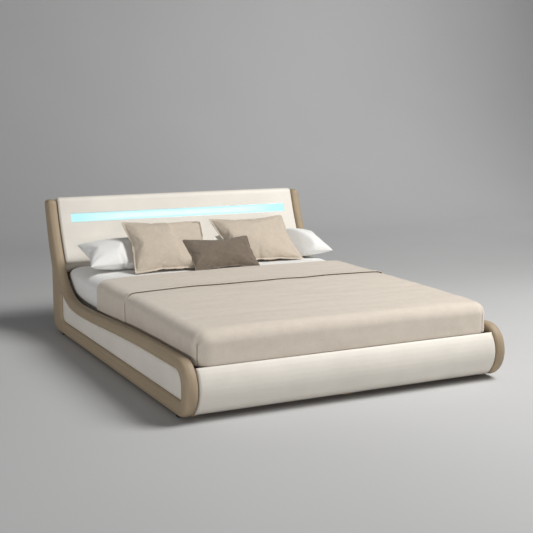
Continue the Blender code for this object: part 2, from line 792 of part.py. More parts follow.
def glides():
    """Six low plastic glides under the side frames and the centre beam."""
    middle_x = (inner_face + outer_face) / 2
    rear = post_back - GLIDE_END_INSET
    across = (("left", -middle_x, frame_bottom), ("right", middle_x, frame_bottom), ("middle", 0.0, ledger_bottom))
    for end, y in (("front", GLIDE_END_INSET), ("rear", rear)):
        for side, x, above in across:
            half = Vector((0.0, 0.0, (above - TOUCH) / 2))
            item = from_bmesh(f"glide_{end}_{side}", bar(-half, half, GLIDE_RADIUS), parts, black_plastic)
            item.location = Vector((x, y, 0.0)) + half
            ease(item, GLIDE_CHAMFER)


def hinge_bracket(side, name):
    """Wall plate with the pivot pin, the strut's anchor pin and three bolt heads."""
    upper = arc((pivot_y, pivot_z), (PLATE_RADIUS, PLATE_RADIUS), 180, 0, 8)
    lower = arc((anchor_y, anchor_z), (PLATE_RADIUS, PLATE_RADIUS), 0, -180, 8)
    ends = (side * board_side, side * plate_inner)
    item = section(name, [upper + lower], ends, black_steel)
    root = side * (plate_inner + PLATE_THICKNESS / 2)
    pivot_end = side * (arm_inner - PIVOT_END)
    anchor_end = side * (plate_inner - STUD_LENGTH)
    tools = [
        bar((root, pivot_y, pivot_z), (pivot_end, pivot_y, pivot_z), PIVOT_RADIUS),
        bar((root, anchor_y, anchor_z), (anchor_end, anchor_y, anchor_z), STUD_RADIUS),
    ]
    for share in BOLT_SHARES:
        z = pivot_z - ANCHOR_DROP * share
        head = side * (plate_inner - BOLT_HEAD)
        tools.append(bar((root, pivot_y, z), (head, pivot_y, z), BOLT_RADIUS, 6))
    combine(item, gather(tools), "UNION")
    return item


def lift_arm(side, name):
    """Angled steel arm: it hangs on the pivot pin, carries the frame and holds the strut's stud."""
    half = ARM_WIDTH / 2
    foot = stud_z - ARM_FOOT_HEIGHT / 2
    shelf = stud_z + ARM_FOOT_HEIGHT / 2
    toe = pivot_y - ARM_FOOT_REACH
    crown = arc((pivot_y, pivot_z), (half, half), 180, 0, 8)
    corners = [(y, z, 0.0) for y, z in crown]
    corners.append((pivot_y + half, foot, ARM_CORNER))
    corners.append((toe, foot, ARM_CORNER))
    corners.append((toe, shelf, ARM_CORNER))
    corners.append((pivot_y - half, shelf, ARM_FILLET))
    bore_radius = PIVOT_RADIUS + BORE_CLEARANCE
    bore = arc((pivot_y, pivot_z), (bore_radius, bore_radius), 0, 360, ROUND)
    ends = (side * arm_inner, side * arm_outer)
    item = section(name, [rounded(corners), bore[:-1]], ends, black_steel)
    root = side * (arm_inner + ARM_THICKNESS / 2)
    tip = side * (arm_outer + STUD_LENGTH)
    combine(item, bar((root, stud_y, stud_z), (tip, stud_y, stud_z), STUD_RADIUS), "UNION")
    return carry(item, lift_hinge)


def lift_frame():
    """Square tubes welded into a frame with four open bays."""
    half = frame_side
    mid_y = (frame_foot + frame_head) / 2
    tube = TUBE / 2
    outer = [(-half, frame_foot), (-half, frame_head), (half, frame_head), (half, frame_foot)]
    loops = [outer]
    for x0, x1 in ((-half + TUBE, -tube), (tube, half - TUBE)):
        for y0, y1 in ((frame_foot + TUBE, mid_y - tube), (mid_y + tube, frame_head - TUBE)):
            loops.append([(x0, y0), (x1, y0), (x1, y1), (x0, y1)])
    mesh = plate_mesh("lift_frame", loops, TUBE, TUBE_EDGE)
    item = link_mesh("lift_frame", mesh, parts, black_steel)
    item.location = (0.0, 0.0, (lift_bottom + lift_top) / 2)
    return carry(item, lift_hinge)


def slat_places():
    """Middles of the slats along the bed."""
    first = mattress_foot + SLAT_END_INSET
    pitch = (MATTRESS_LENGTH - 2 * SLAT_END_INSET) / (SLAT_COUNT - 1)
    return [first + pitch * i for i in range(SLAT_COUNT)]


def slats():
    """Flat slats across the frame."""
    half = SLAT_WIDTH / 2
    for i, y in enumerate(slat_places()):
        low = (-slat_end, y - half, slat_bottom)
        high = (slat_end, y + half, slat_top)
        carry(block(f"slat_{i + 1:02d}", low, high, birch, SLAT_EDGE), lift_hinge)


def slat_strip(name, low_x, high_x):
    """A comb-like strip along the frame whose pockets hold the slats."""
    low = (low_x, frame_foot, strip_bottom)
    high = (high_x, frame_head, strip_top)
    item = block(name, low, high, grey_rubber)
    half = SLAT_WIDTH / 2 + SLAT_POCKET_GAP
    floor = slat_bottom - TOUCH
    reach = slat_end + SLAT_POCKET_GAP
    pockets = []
    for y in slat_places():
        pockets.append(box_between((-reach, y - half, floor), (reach, y + half, strip_top + OVERRUN)))
    combine(item, gather(pockets), "DIFFERENCE")
    return carry(item, lift_hinge)


def strut_angle():
    """The strut's turn about X, from upright to its rest position."""
    return math.atan2(anchor_y - stud_y, stud_z - anchor_z)


def strut_holder(side, word):
    """The empty at a strut's anchor, its Z along the strut."""
    place = (side * strut_x, anchor_y, anchor_z)
    return empty(f"strut_anchor_{word}", place, bed_origin, strut_angle())


def strut_cylinder(name, holder):
    """Pressure tube with its anchor eye, open at the end where the rod goes in."""
    top = CYLINDER_END + CYLINDER_LENGTH
    half = EYE_THICKNESS / 2
    tube = bar((0.0, 0.0, CYLINDER_END), (0.0, 0.0, top), CYLINDER_RADIUS)
    item = from_bmesh(name, tube, parts, black_steel)
    neck = bar((0.0, 0.0, ANCHOR_EYE_RADIUS / 2), (0.0, 0.0, CYLINDER_END + CYLINDER_BASE / 2), NECK_RADIUS)
    eye = bar((-half, 0.0, 0.0), (half, 0.0, 0.0), ANCHOR_EYE_RADIUS)
    bore = bar((-half - OVERRUN, 0.0, 0.0), (half + OVERRUN, 0.0, 0.0), STUD_RADIUS + BORE_CLEARANCE)
    barrel = bar((0.0, 0.0, CYLINDER_END + CYLINDER_BASE), (0.0, 0.0, top + OVERRUN), CYLINDER_BORE)
    steps = ((neck, "UNION"), (eye, "UNION"), (bore, "DIFFERENCE"), (barrel, "DIFFERENCE"))
    tools = [combine(item, bm, kind) for bm, kind in steps]
    for piece in [item, *tools]:
        piece.parent = holder
    return item


def strut_rod(name, holder):
    """Piston rod with the wide eye that goes over the arm's stud."""
    reach = math.hypot(anchor_y - stud_y, stud_z - anchor_z)
    half = EYE_THICKNESS / 2
    bore_radius = STUD_RADIUS + ROD_EYE_CLEARANCE
    root = reach - (bore_radius + ROD_EYE_RADIUS) / 2
    rod = bar((0.0, 0.0, reach - ROD_LENGTH), (0.0, 0.0, root), ROD_RADIUS)
    item = from_bmesh(name, rod, parts, polished_rod)
    eye = bar((-half, 0.0, reach), (half, 0.0, reach), ROD_EYE_RADIUS)
    bore = bar((-half - OVERRUN, 0.0, reach), (half + OVERRUN, 0.0, reach), bore_radius)
    tools = [combine(item, bm, kind) for bm, kind in ((eye, "UNION"), (bore, "DIFFERENCE"))]
    for piece in [item, *tools]:
        piece.parent = holder
    return item


def round_edges(bm, edges, width, steps):
    """Round the given edges with a circular profile."""
    bmesh.ops.bevel(
        bm, geom=edges, offset=width, offset_type="OFFSET", segments=steps,
        profile=0.5, affect="EDGES", clamp_overlap=False, material=-1,
    )


def slice_at(bm, axis, places):
    """Cut a bmesh into strips at places along one axis, so that it can bend there."""
    normal = Vector((axis == 0, axis == 1, 0.0))
    for place in places:
        geometry = list(bm.verts) + list(bm.edges) + list(bm.faces)
        bmesh.ops.bisect_plane(bm, geom=geometry, dist=WELD, plane_co=normal * place, plane_no=normal)


def sag(x, y):
    """How far the top of the bed has settled at a place."""
    across = EDGE_SAG * min(1.0, abs(x) / mattress_side) ** 4
    along = FOOT_SAG * max(0.0, 1.0 - max(0.0, y - mattress_foot) / SAG_LENGTH) ** 2
    return across + along


def bed_cover(low, high, corner, edge):
    """A rounded block of the bed's own outline as a bmesh, cut into strips and settled."""
    bm = box_between(low, high)
    upright = [e for e in bm.edges if abs(e.verts[0].co.z - e.verts[1].co.z) > WELD]
    round_edges(bm, upright, corner, CORNER_STEPS)
    upper = [e for e in bm.edges if min(v.co.z for v in e.verts) > high[2] - WELD]
    round_edges(bm, upper, edge, CORNER_STEPS)
    count = BEDDING_STRIPS
    slice_at(bm, 0, [mattress_side * share for share in STRIP_SHARES])
    slice_at(bm, 1, [mattress_foot + MATTRESS_LENGTH * (i + 1) / (count + 1) for i in range(count)])
    return bm


def settle(bm):
    """Let the top of the bedding fall a little to its sides and towards the foot."""
    for vertex in bm.verts:
        x, y, z = vertex.co
        weight = min(1.0, max(0.0, (z - mattress_top + MATTRESS_EDGE + SAG_ZONE) / SAG_ZONE))
        vertex.co.z -= weight * sag(x, y)


def mattress():
    """The mattress, its top settled at the sides and the foot."""
    low = (-mattress_side, mattress_foot, mattress_bottom)
    high = (mattress_side, mattress_head, mattress_top)
    bm = bed_cover(low, high, MATTRESS_CORNER, MATTRESS_EDGE)
    settle(bm)
    item = from_bmesh("mattress", bm, parts, ivory_ticking)
    return carry(item, lift_hinge)


def cloth(name, bm, hem, thickness, material):
    """A sheet of the given thickness inside a rounded block, open below its hem."""
    bottom = [f for f in bm.faces if max(v.co.z for v in f.verts) < hem + WELD]
    bmesh.ops.delete(bm, geom=bottom, context="FACES")
    item = from_bmesh(name, bm, parts, material)
    solid = item.modifiers.new("thickness", "SOLIDIFY")
    solid.thickness = thickness
    solid.offset = -1.0
    solid.use_even_offset = True
    return item


def fitted_sheet():
    """The white sheet over the top and sides of the mattress."""
    spread = TOUCH + SHEET
    hem = mattress_bottom + SHEET_HEM
    low = (-mattress_side - spread, mattress_foot - spread, hem)
    high = (mattress_side + spread, mattress_head + spread, sheet_top)
    bm = bed_cover(low, high, MATTRESS_CORNER + spread, MATTRESS_EDGE + spread)
    settle(bm)
    return carry(cloth("fitted_sheet", bm, hem, SHEET, white_cotton), lift_hinge)


def duvet():
    """The duvet over the foot two thirds of the bed, its head part turned down over it."""
    side = inner_face - DUVET_SIDE_CLEARANCE
    head = mattress_head - DUVET_HEAD_INSET
    turn = mattress_head - TURN_DOWN_FROM_HEAD
    low = (-side, FOOT_LIP_DEPTH + DUVET_FOOT_CLEARANCE, duvet_hem)
    high = (side, head + DUVET_CORNER + DUVET, duvet_top)
    bm = bed_cover(low, high, DUVET_CORNER, DUVET_EDGE)
    slice_at(bm, 1, [turn, turn + TURN_DOWN_RAMP])
    geometry = list(bm.verts) + list(bm.edges) + list(bm.faces)
    bmesh.ops.bisect_plane(
        bm, geom=geometry, dist=WELD, plane_co=(0.0, head, 0.0), plane_no=(0.0, 1.0, 0.0), clear_outer=True,
    )
    settle(bm)
    for vertex in bm.verts:
        if vertex.co.y > turn + WELD and vertex.co.z > duvet_hem + WELD:
            vertex.co.z += TURN_DOWN_STEP
    return carry(cloth("duvet", bm, duvet_hem, DUVET, duvet_cotton), lift_hinge)


def swell(share, half, flange, count):
    """A grid share as a place across a cushion and as a share of its filled part."""
    filled = 1.0 - 2.0 / count if flange else 1.0
    inner = math.sin(math.pi / 2 * max(-1.0, min(1.0, share / filled)))
    if abs(share) > filled + WELD:
        return math.copysign(half, share), math.copysign(1.0, share)
    return (half - flange) * inner, inner


def cushion(name, width, height, crown, flange, place, lean, turn, material, presses):
    """A filled cushion with a crown, drawn-in sides and a seam, leaning back on the bed.

    Each press is a plane (point, normal, reach): nothing goes past it within that reach
    to either side, and beyond the reach it gives way by as much as the distance.
    """
    bm = bmesh.new()
    bmesh.ops.create_grid(bm, x_segments=CUSHION_COLUMNS, y_segments=CUSHION_ROWS, size=1.0)
    shell = bmesh.ops.extrude_face_region(bm, geom=list(bm.faces), use_keep_orig=True)
    upper = {item for item in shell["geom"] if isinstance(item, bmesh.types.BMVert)}
    for vertex in bm.verts:
        x, u = swell(vertex.co.x, width / 2, flange, CUSHION_COLUMNS)
        y, v = swell(vertex.co.y, height / 2, flange, CUSHION_ROWS)
        swelling = math.sqrt(max(0.0, (1 - u * u) * (1 - v * v)))
        depth = SEAM / 2 + (crown - SEAM) / 2 * swelling
        vertex.co.x = x * (1 - SIDE_DRAW_SHARE * (1 - v * v))
        vertex.co.y = y * (1 - SIDE_DRAW_SHARE * (1 - u * u)) + height / 2
        vertex.co.z = depth if vertex in upper else -depth
    bmesh.ops.recalc_face_normals(bm, faces=bm.faces)
    stand = Matrix.LocRotScale(Vector(place), None, None)
    stand = stand @ Matrix.Rotation(turn, 4, "Z") @ Matrix.Rotation(math.pi / 2 - lean, 4, "X")
    bm.transform(stand)
    for vertex in bm.verts:
        for point, normal, reach in presses:
            aside = max(0.0, abs(vertex.co.x - point.x) - reach)
            beyond = (vertex.co - point).dot(normal) - aside
            if beyond > 0.0:
                vertex.co -= normal * beyond
        rest = sheet_top - sag(vertex.co.x, vertex.co.y) + TOUCH
        vertex.co.z = max(vertex.co.z, rest)
    bm.transform(stand.inverted())
    item = from_bmesh(name, bm, parts, material)
    item.matrix_local = stand
    return carry(item, lift_hinge)


def lean_plane(place, lean, turn, depth, width):
    """The plane behind a leaning cushion: its point, its backward normal and its reach."""
    normal = Matrix.Rotation(turn, 3, "Z") @ Vector((0.0, math.cos(lean), -math.sin(lean)))
    return Vector(place) + normal * depth, normal, width / 2


def pillows():
    """Two pillows, two square cushions and a lumbar cushion, each leaning on the next."""
    seam = sheet_top + SEAM_LIFT
    left = (LEFT_CUSHION_X, mattress_head - LEFT_CUSHION_FROM_HEAD, seam)
    right = (RIGHT_CUSHION_X, mattress_head - RIGHT_CUSHION_FROM_HEAD, seam)
    front = (LUMBAR_X, mattress_head - LUMBAR_FROM_HEAD, seam)
    planes = {}
    planes["left"] = lean_plane(left, LEFT_CUSHION_LEAN, LEFT_CUSHION_TURN, PRESS_DEPTH, CUSHION_WIDTH)
    planes["right"] = lean_plane(right, RIGHT_CUSHION_LEAN, RIGHT_CUSHION_TURN, PRESS_DEPTH, CUSHION_WIDTH)
    planes["front"] = lean_plane(front, LUMBAR_LEAN, LUMBAR_PRESS_TURN, LUMBAR_PRESS_DEPTH, CUSHION_WIDTH)

    def before(plane):
        point, normal, reach = plane
        return point - normal * TOUCH / 2, normal, reach

    def behind(plane):
        point, normal, reach = plane
        return point + normal * TOUCH / 2, -normal, reach

    for x, word in ((LEFT_PILLOW_X, "left"), (RIGHT_PILLOW_X, "right")):
        place = (x, mattress_head - PILLOW_FROM_HEAD, sheet_top + PILLOW_LIFT)
        cushion(
            f"pillow_{word}", PILLOW_WIDTH, PILLOW_HEIGHT, PILLOW_CROWN, 0.0, place,
            PILLOW_LEAN, PILLOW_TURN, white_cotton, [behind(planes[word])],
        )
    cushion(
        "cushion_left", CUSHION_WIDTH, CUSHION_HEIGHT, CUSHION_CROWN, CUSHION_FLANGE, left,
        LEFT_CUSHION_LEAN, LEFT_CUSHION_TURN, sand_linen, [before(planes["left"]), behind(planes["front"])],
    )
    cushion(
        "cushion_right", CUSHION_WIDTH, CUSHION_HEIGHT, CUSHION_CROWN, CUSHION_FLANGE, right,
        RIGHT_CUSHION_LEAN, RIGHT_CUSHION_TURN, sand_linen, [before(planes["right"])],
    )
    cushion(
        "lumbar_cushion", LUMBAR_WIDTH, LUMBAR_HEIGHT, LUMBAR_CROWN, LUMBAR_FLANGE, front,
        LUMBAR_LEAN, LUMBAR_TURN, dark_linen, [before(planes["front"])],
    )


# The fixed body, from the side frames inward
for side, word in ((-1, "left"), (1, "right")):
    side_frame(side, f"side_frame_{word}")
    side_panel(side, f"side_panel_{word}")
    hinge_bracket(side, f"hinge_bracket_{word}")
foot_panel()
low_frame()
head_rail()
power_socket()
headboard_back()
headboard_pad()
light_band()
glides()

# The lifting base and what lies on it
lift_frame()
for side, word in ((-1, "left"), (1, "right")):
    lift_arm(side, f"lift_arm_{word}")
    slat_strip(f"slat_strip_{word}", *sorted((side * strip_inner, side * strip_outer)))
slat_strip("slat_strip_centre", -TUBE / 2, TUBE / 2)
slats()
mattress()
fitted_sheet()
duvet()
pillows()

# The gas struts
for side, word in ((-1, "left"), (1, "right")):
    holder = strut_holder(side, word)
    strut_cylinder(f"strut_cylinder_{word}", holder)
    strut_rod(f"strut_rod_{word}", holder)
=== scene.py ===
import math

import bmesh
import bpy
from mathutils import Matrix, Vector, noise


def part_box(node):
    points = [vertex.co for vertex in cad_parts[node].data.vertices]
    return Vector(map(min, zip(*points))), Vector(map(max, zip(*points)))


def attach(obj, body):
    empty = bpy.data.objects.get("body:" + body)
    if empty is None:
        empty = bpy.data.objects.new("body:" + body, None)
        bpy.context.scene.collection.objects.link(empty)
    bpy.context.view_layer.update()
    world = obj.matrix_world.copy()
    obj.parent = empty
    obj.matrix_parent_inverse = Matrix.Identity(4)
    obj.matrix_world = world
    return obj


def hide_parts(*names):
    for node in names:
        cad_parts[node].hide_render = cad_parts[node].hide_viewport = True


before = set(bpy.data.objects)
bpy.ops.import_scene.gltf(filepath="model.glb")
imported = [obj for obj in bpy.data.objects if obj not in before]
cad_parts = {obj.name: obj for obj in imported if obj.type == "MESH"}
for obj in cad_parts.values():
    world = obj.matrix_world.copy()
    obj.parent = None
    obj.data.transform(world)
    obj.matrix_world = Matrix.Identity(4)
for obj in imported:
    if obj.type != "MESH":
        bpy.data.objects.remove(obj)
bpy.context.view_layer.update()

bl_info = {
    "name": "Dressed Storage Bed",
    "version": (1, 0, 0),
    "blender": (4, 5, 0),
    "location": "3D View > Sidebar > Bed",
    "description": "Dresses the lift-up storage bed with leather, bedding, cushions and a plain studio",
    "category": "Object",
}

# The bed's own levels and places in metres, as its solids have them
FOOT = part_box("side_frame_left")[0][1]
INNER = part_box("side_frame_right")[0][0]
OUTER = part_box("side_frame_right")[1][0]
MATTRESS_LOW, MATTRESS_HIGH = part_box("mattress")
HALF_WIDTH = MATTRESS_HIGH[0]
MATTRESS_FOOT = MATTRESS_LOW[1]
MATTRESS_HEAD = MATTRESS_HIGH[1]
MATTRESS_CORNER = 0.064
SHEET_LOW, SHEET_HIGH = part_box("fitted_sheet")
SHEET_TOP = SHEET_HIGH[2]
DUVET_LOW, DUVET_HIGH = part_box("duvet")
DUVET_TOP = SHEET_TOP + 0.0093
DUVET_HEM = DUVET_LOW[2]
DUVET_CORNER = 0.070
DUVET_HEAD = DUVET_HIGH[1]
TURN_DOWN = MATTRESS_HEAD - 1.062


# ---------------------------------------------------------------- colours and nodes

def shade(code):
    """A hex colour, written as it looks on a screen, as linear red, green, blue and alpha."""
    parts = [int(code[i:i + 2], 16) / 255 for i in (1, 3, 5)]
    return tuple(c / 12.92 if c <= 0.04045 else ((c + 0.055) / 1.055) ** 2.4 for c in parts) + (1.0,)


def node(tree, kind, links=(), **settings):
    """One shader node with its settings and its incoming links, given as (input, output)."""
    new = tree.nodes.new(kind)
    for name, value in settings.items():
        if name.startswith("in_"):
            key = name[3:]
            new.inputs[int(key) if key.isdigit() else key.replace("_", " ")].default_value = value
        else:
            setattr(new, name, value)
    for target, source in links:
        tree.links.new(source, new.inputs[target])
    return new


def blank(name):
    """A new material with only its output and shader."""
    material = bpy.data.materials.new(name)
    material.use_nodes = True
    tree = material.node_tree
    tree.nodes.clear()
    shader = node(tree, "ShaderNodeBsdfPrincipled")
    node(tree, "ShaderNodeOutputMaterial", [("Surface", shader.outputs["BSDF"])])
    return material, tree, shader


def ramp(tree, source, stops):
    """A colour ramp over a value, with (position, colour) stops."""
    new = node(tree, "ShaderNodeValToRGB", [("Fac", source)])
    band = new.color_ramp
    while len(band.elements) < len(stops):
        band.elements.new(0.5)
    for element, (position, colour) in zip(band.elements, stops):
        element.position = position
        element.color = colour
    return new.outputs["Color"]


def tinted(colour, share):
    """A linear colour made lighter or darker by a share."""
    return tuple(min(1.0, c * (1.0 + share)) for c in colour[:3]) + (1.0,)


def stacked_bumps(tree, layers):
    """Bump nodes one on another, each (height, strength, distance in metres)."""
    normal = None
    for height, strength, distance in layers:
        links = [("Height", height)] + ([("Normal", normal)] if normal else [])
        bump = node(tree, "ShaderNodeBump", links, in_Strength=strength, in_Distance=distance)
        normal = bump.outputs["Normal"]
    return normal


def noise_on(tree, place, scale, detail=2.0, roughness=0.5):
    """A noise over a place, stretched by a scale of three numbers, in patches to the metre."""
    mapped = node(tree, "ShaderNodeMapping", [("Vector", place)], in_Scale=scale)
    spread = node(
        tree, "ShaderNodeTexNoise", [("Vector", mapped.outputs["Vector"])],
        in_Scale=1.0, in_Detail=detail, in_Roughness=roughness,
    )
    return spread.outputs["Fac"]


def leather(name, colour, roughness, folds):
    """Corrected-grain upholstery leather: fine pebbles, faint mottling and a soft sheen.

    The pebbles are about 1 mm on the real hide and are drawn at 2.4 mm so that they show.
    """
    material, tree, shader = blank(name)
    place = node(tree, "ShaderNodeTexCoord").outputs["Object"]
    cells = node(tree, "ShaderNodeTexVoronoi", [("Vector", place)], feature="DISTANCE_TO_EDGE", in_Scale=1000 / 2.4)
    pebbles = node(tree, "ShaderNodeMapRange", [("Value", cells.outputs["Distance"])], in_1=0.0, in_2=0.16)
    pores = noise_on(tree, place, (900.0, 900.0, 900.0))
    slack = noise_on(tree, place, (6.0, 9.0, 9.0))
    mottle = noise_on(tree, place, (5.0, 5.0, 5.0), 4.0, 0.6)
    base = ramp(tree, mottle, [(0.30, tinted(colour, -0.035)), (0.70, tinted(colour, 0.035))])
    # Painted shade: the creases between the pebbles are darkened in colour, on top of their bump.
    crease_shade = ramp(tree, pebbles.outputs["Result"], [(0.0, shade("#cfcfcf")), (0.35, shade("#ffffff"))])
    mixed = node(tree, "ShaderNodeMix", [(6, base), (7, crease_shade)], data_type="RGBA", blend_type="MULTIPLY", in_0=0.3)
    tree.links.new(mixed.outputs[2], shader.inputs["Base Color"])
    gloss = node(tree, "ShaderNodeMapRange", [("Value", mottle)], in_3=roughness - 0.05, in_4=roughness + 0.06)
    tree.links.new(gloss.outputs["Result"], shader.inputs["Roughness"])
    layers = [(slack, folds, 0.004), (pebbles.outputs["Result"], 0.35, 0.0003), (pores, 0.15, 0.0001)]
    tree.links.new(stacked_bumps(tree, layers), shader.inputs["Normal"])
    shader.inputs["IOR"].default_value = 1.46
    shader.inputs["Specular IOR Level"].default_value = 0.35
    return material


def woven(name, colour, thread_mm, relief, slub, cloudy, sheen, coordinates="UV"):
    """Plain-woven cloth: crossing threads, uneven yarn and a soft bloom on its fibres.

    slub is how much the yarn's colour varies, cloudy how much the cloth's does over a few
    centimetres, relief the depth of the threads in metres.
    """
    material, tree, shader = blank(name)
    place = node(tree, "ShaderNodeTexCoord").outputs[coordinates]
    # A wave node has 20 radians in one unit of its scale, and one wave is a pair of threads.
    bands = 2 * math.pi / (20 * 2 * thread_mm / 1000)
    waves = [
        node(
            tree, "ShaderNodeTexWave", [("Vector", place)], bands_direction=way,
            in_Scale=bands, in_Distortion=1.2, in_Detail=1.0,
        ).outputs["Fac"] for way in "XY"
    ]
    weave = node(tree, "ShaderNodeMath", [(0, waves[0]), (1, waves[1])], operation="MULTIPLY").outputs["Value"]
    # Slubs are 2 to 3 mm wide and up to 30 mm long, along both ways of the cloth.
    weft = noise_on(tree, place, (38.0, 420.0, 40.0))
    warp = noise_on(tree, place, (420.0, 38.0, 40.0))
    both = node(tree, "ShaderNodeMath", [(0, weft), (1, warp)], operation="ADD").outputs["Value"]
    yarn = node(tree, "ShaderNodeMath", [(0, both)], operation="MULTIPLY", in_1=0.5).outputs["Value"]
    body = node(tree, "ShaderNodeTexCoord").outputs["Object"]
    cloud = noise_on(tree, body, (22.0, 22.0, 22.0), 3.0, 0.6)
    threads = ramp(tree, yarn, [(0.38, tinted(colour, -slub)), (0.62, tinted(colour, slub))])
    patches = ramp(tree, cloud, [(0.32, tinted((1.0, 1.0, 1.0), -cloudy)), (0.68, (1.0, 1.0, 1.0, 1.0))])
    mixed = node(
        tree, "ShaderNodeMix", [(6, threads), (7, patches)], data_type="RGBA", blend_type="MULTIPLY", in_0=1.0,
    )
    tree.links.new(mixed.outputs[2], shader.inputs["Base Color"])
    rumple = noise_on(tree, body, (9.0, 16.0, 14.0), 3.0)
    layers = [(rumple, 0.30, 0.004), (yarn, 0.5, relief), (weave, 0.5, relief)]
    tree.links.new(stacked_bumps(tree, layers), shader.inputs["Normal"])
    shader.inputs["Roughness"].default_value = 0.9
    shader.inputs["Sheen Weight"].default_value = sheen
    shader.inputs["Sheen Roughness"].default_value = 0.4
    shader.inputs["Sheen Tint"].default_value = (1.0, 0.98, 0.95, 1.0)
    shader.inputs["IOR"].default_value = 1.5
    shader.inputs["Specular IOR Level"].default_value = 0.25
    return material


def wood(name, light, dark, rings_mm, direction, roughness):
    """Sawn or planed wood: long grain lines with fibres along the board."""
    material, tree, shader = blank(name)
    place = node(tree, "ShaderNodeTexCoord").outputs["Object"]
    lines = 1000 / rings_mm
    stretch = {"X": (lines / 26, lines, lines), "Y": (lines, lines / 26, lines)}[direction]
    growth = noise_on(tree, place, stretch, 3.0)
    fine = noise_on(tree, place, tuple(30 * s for s in stretch))
    bands = [(0.30, dark), (0.52, light), (0.62, tinted(light, -0.08)), (0.78, light)]
    tree.links.new(ramp(tree, growth, bands), shader.inputs["Base Color"])
    layers = [(fine, 0.3, 0.0002), (growth, 0.15, 0.0005)]
    tree.links.new(stacked_bumps(tree, layers), shader.inputs["Normal"])
    shader.inputs["Roughness"].default_value = roughness
    shader.inputs["IOR"].default_value = 1.5
    return material


def metal(name, colour, roughness, marked):
    """Bare metal, ground or anodised, with faint marks along its length."""
    material, tree, shader = blank(name)
    place = node(tree, "ShaderNodeTexCoord").outputs["Object"]
    marks = noise_on(tree, place, (4.0, 900.0, 900.0))
    gloss = node(tree, "ShaderNodeMapRange", [("Value", marks)], in_3=roughness, in_4=roughness + 0.08)
    tree.links.new(gloss.outputs["Result"], shader.inputs["Roughness"])
    tree.links.new(stacked_bumps(tree, [(marks, marked, 0.00005)]), shader.inputs["Normal"])
    shader.inputs["Base Color"].default_value = colour
    shader.inputs["Metallic"].default_value = 1.0
    return material


def coated(name, colour, roughness, speck_mm, relief, ior=1.5):
    """Powder coat, moulded plastic or rubber: one colour with a fine even texture."""
    material, tree, shader = blank(name)
    place = node(tree, "ShaderNodeTexCoord").outputs["Object"]
    specks = 1000 / speck_mm
    peel = noise_on(tree, place, (specks, specks, specks))
    wear = noise_on(tree, place, (30.0, 30.0, 30.0), 3.0)
    base = ramp(tree, wear, [(0.35, tinted(colour, -0.10)), (0.70, tinted(colour, 0.12))])
    tree.links.new(base, shader.inputs["Base Color"])
    gloss = node(tree, "ShaderNodeMapRange", [("Value", wear)], in_3=roughness - 0.05, in_4=roughness + 0.05)
    tree.links.new(gloss.outputs["Result"], shader.inputs["Roughness"])
    tree.links.new(stacked_bumps(tree, [(peel, 0.4, relief)]), shader.inputs["Normal"])
    shader.inputs["IOR"].default_value = ior
    return material


def lit_opal(name, core, edge):
    """Opal acrylic lit from behind: nearly white along its middle, aqua at its edges and ends."""
    material, tree, shader = blank(name)
    low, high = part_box("led_diffuser")
    place = node(tree, "ShaderNodeTexCoord").outputs["Object"]
    split = node(tree, "ShaderNodeSeparateXYZ", [("Vector", place)])
    shares = []
    for axis, start in ((0, 0.55), (2, 0.35)):
        middle = (low[axis] + high[axis]) / 2
        half = (high[axis] - low[axis]) / 2
        aside = node(tree, "ShaderNodeMath", [(0, split.outputs[axis])], operation="SUBTRACT", in_1=middle)
        reach = node(tree, "ShaderNodeMath", [(0, aside.outputs["Value"])], operation="ABSOLUTE")
        share = node(tree, "ShaderNodeMapRange", [("Value", reach.outputs["Value"])], in_1=half * start, in_2=half)
        shares.append(share.outputs["Result"])
    most = node(tree, "ShaderNodeMath", [(0, shares[0]), (1, shares[1])], operation="MAXIMUM").outputs["Value"]
    cloud = noise_on(tree, place, (10.0, 10.0, 10.0), 1.0)
    uneven = node(tree, "ShaderNodeMath", [(0, cloud), (2, most)], operation="MULTIPLY_ADD", in_1=0.35)
    glow = ramp(tree, uneven.outputs["Value"], [(0.15, core), (1.1, edge)])
    tree.links.new(glow, shader.inputs["Emission Color"])
    shader.inputs["Emission Strength"].default_value = 1.0
    shader.inputs["Base Color"].default_value = (0.05, 0.05, 0.05, 1.0)
    shader.inputs["Roughness"].default_value = 0.6
    return material


# ---------------------------------------------------------------- shapes

def whole(bm):
    """Everything in a bmesh."""
    return list(bm.verts) + list(bm.edges) + list(bm.faces)


def outlines(source, x):
    """The closed outlines where a plane across the bed cuts a node, largest first, as (y, z)."""
    bm = bmesh.new()
    bm.from_mesh(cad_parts[source].data)
    bmesh.ops.remove_doubles(bm, verts=bm.verts, dist=1e-5)
    bmesh.ops.bisect_plane(
        bm, geom=whole(bm), dist=1e-7, plane_co=(x, 0.0, 0.0), plane_no=(1.0, 0.0, 0.0),
        clear_inner=True, clear_outer=True,
    )
    bmesh.ops.remove_doubles(bm, verts=bm.verts, dist=1e-5)
    loops = []
    left = set(bm.verts)
    while left:
        line = [left.pop()]
        while True:
            ahead = [e.other_vert(line[-1]) for e in line[-1].link_edges]
            ahead = [v for v in ahead if v in left]
            if not ahead:
                break
            left.discard(ahead[0])
            line.append(ahead[0])
        loops.append([(v.co.y, v.co.z) for v in line])
    bm.free()
    return sorted(loops, key=lambda line: -abs(area(line)))


def area(line):
    """Signed area inside a closed line, positive when it runs anticlockwise."""
    return sum(a[0] * b[1] - b[0] * a[1] for a, b in zip(line, line[1:] + line[:1])) / 2


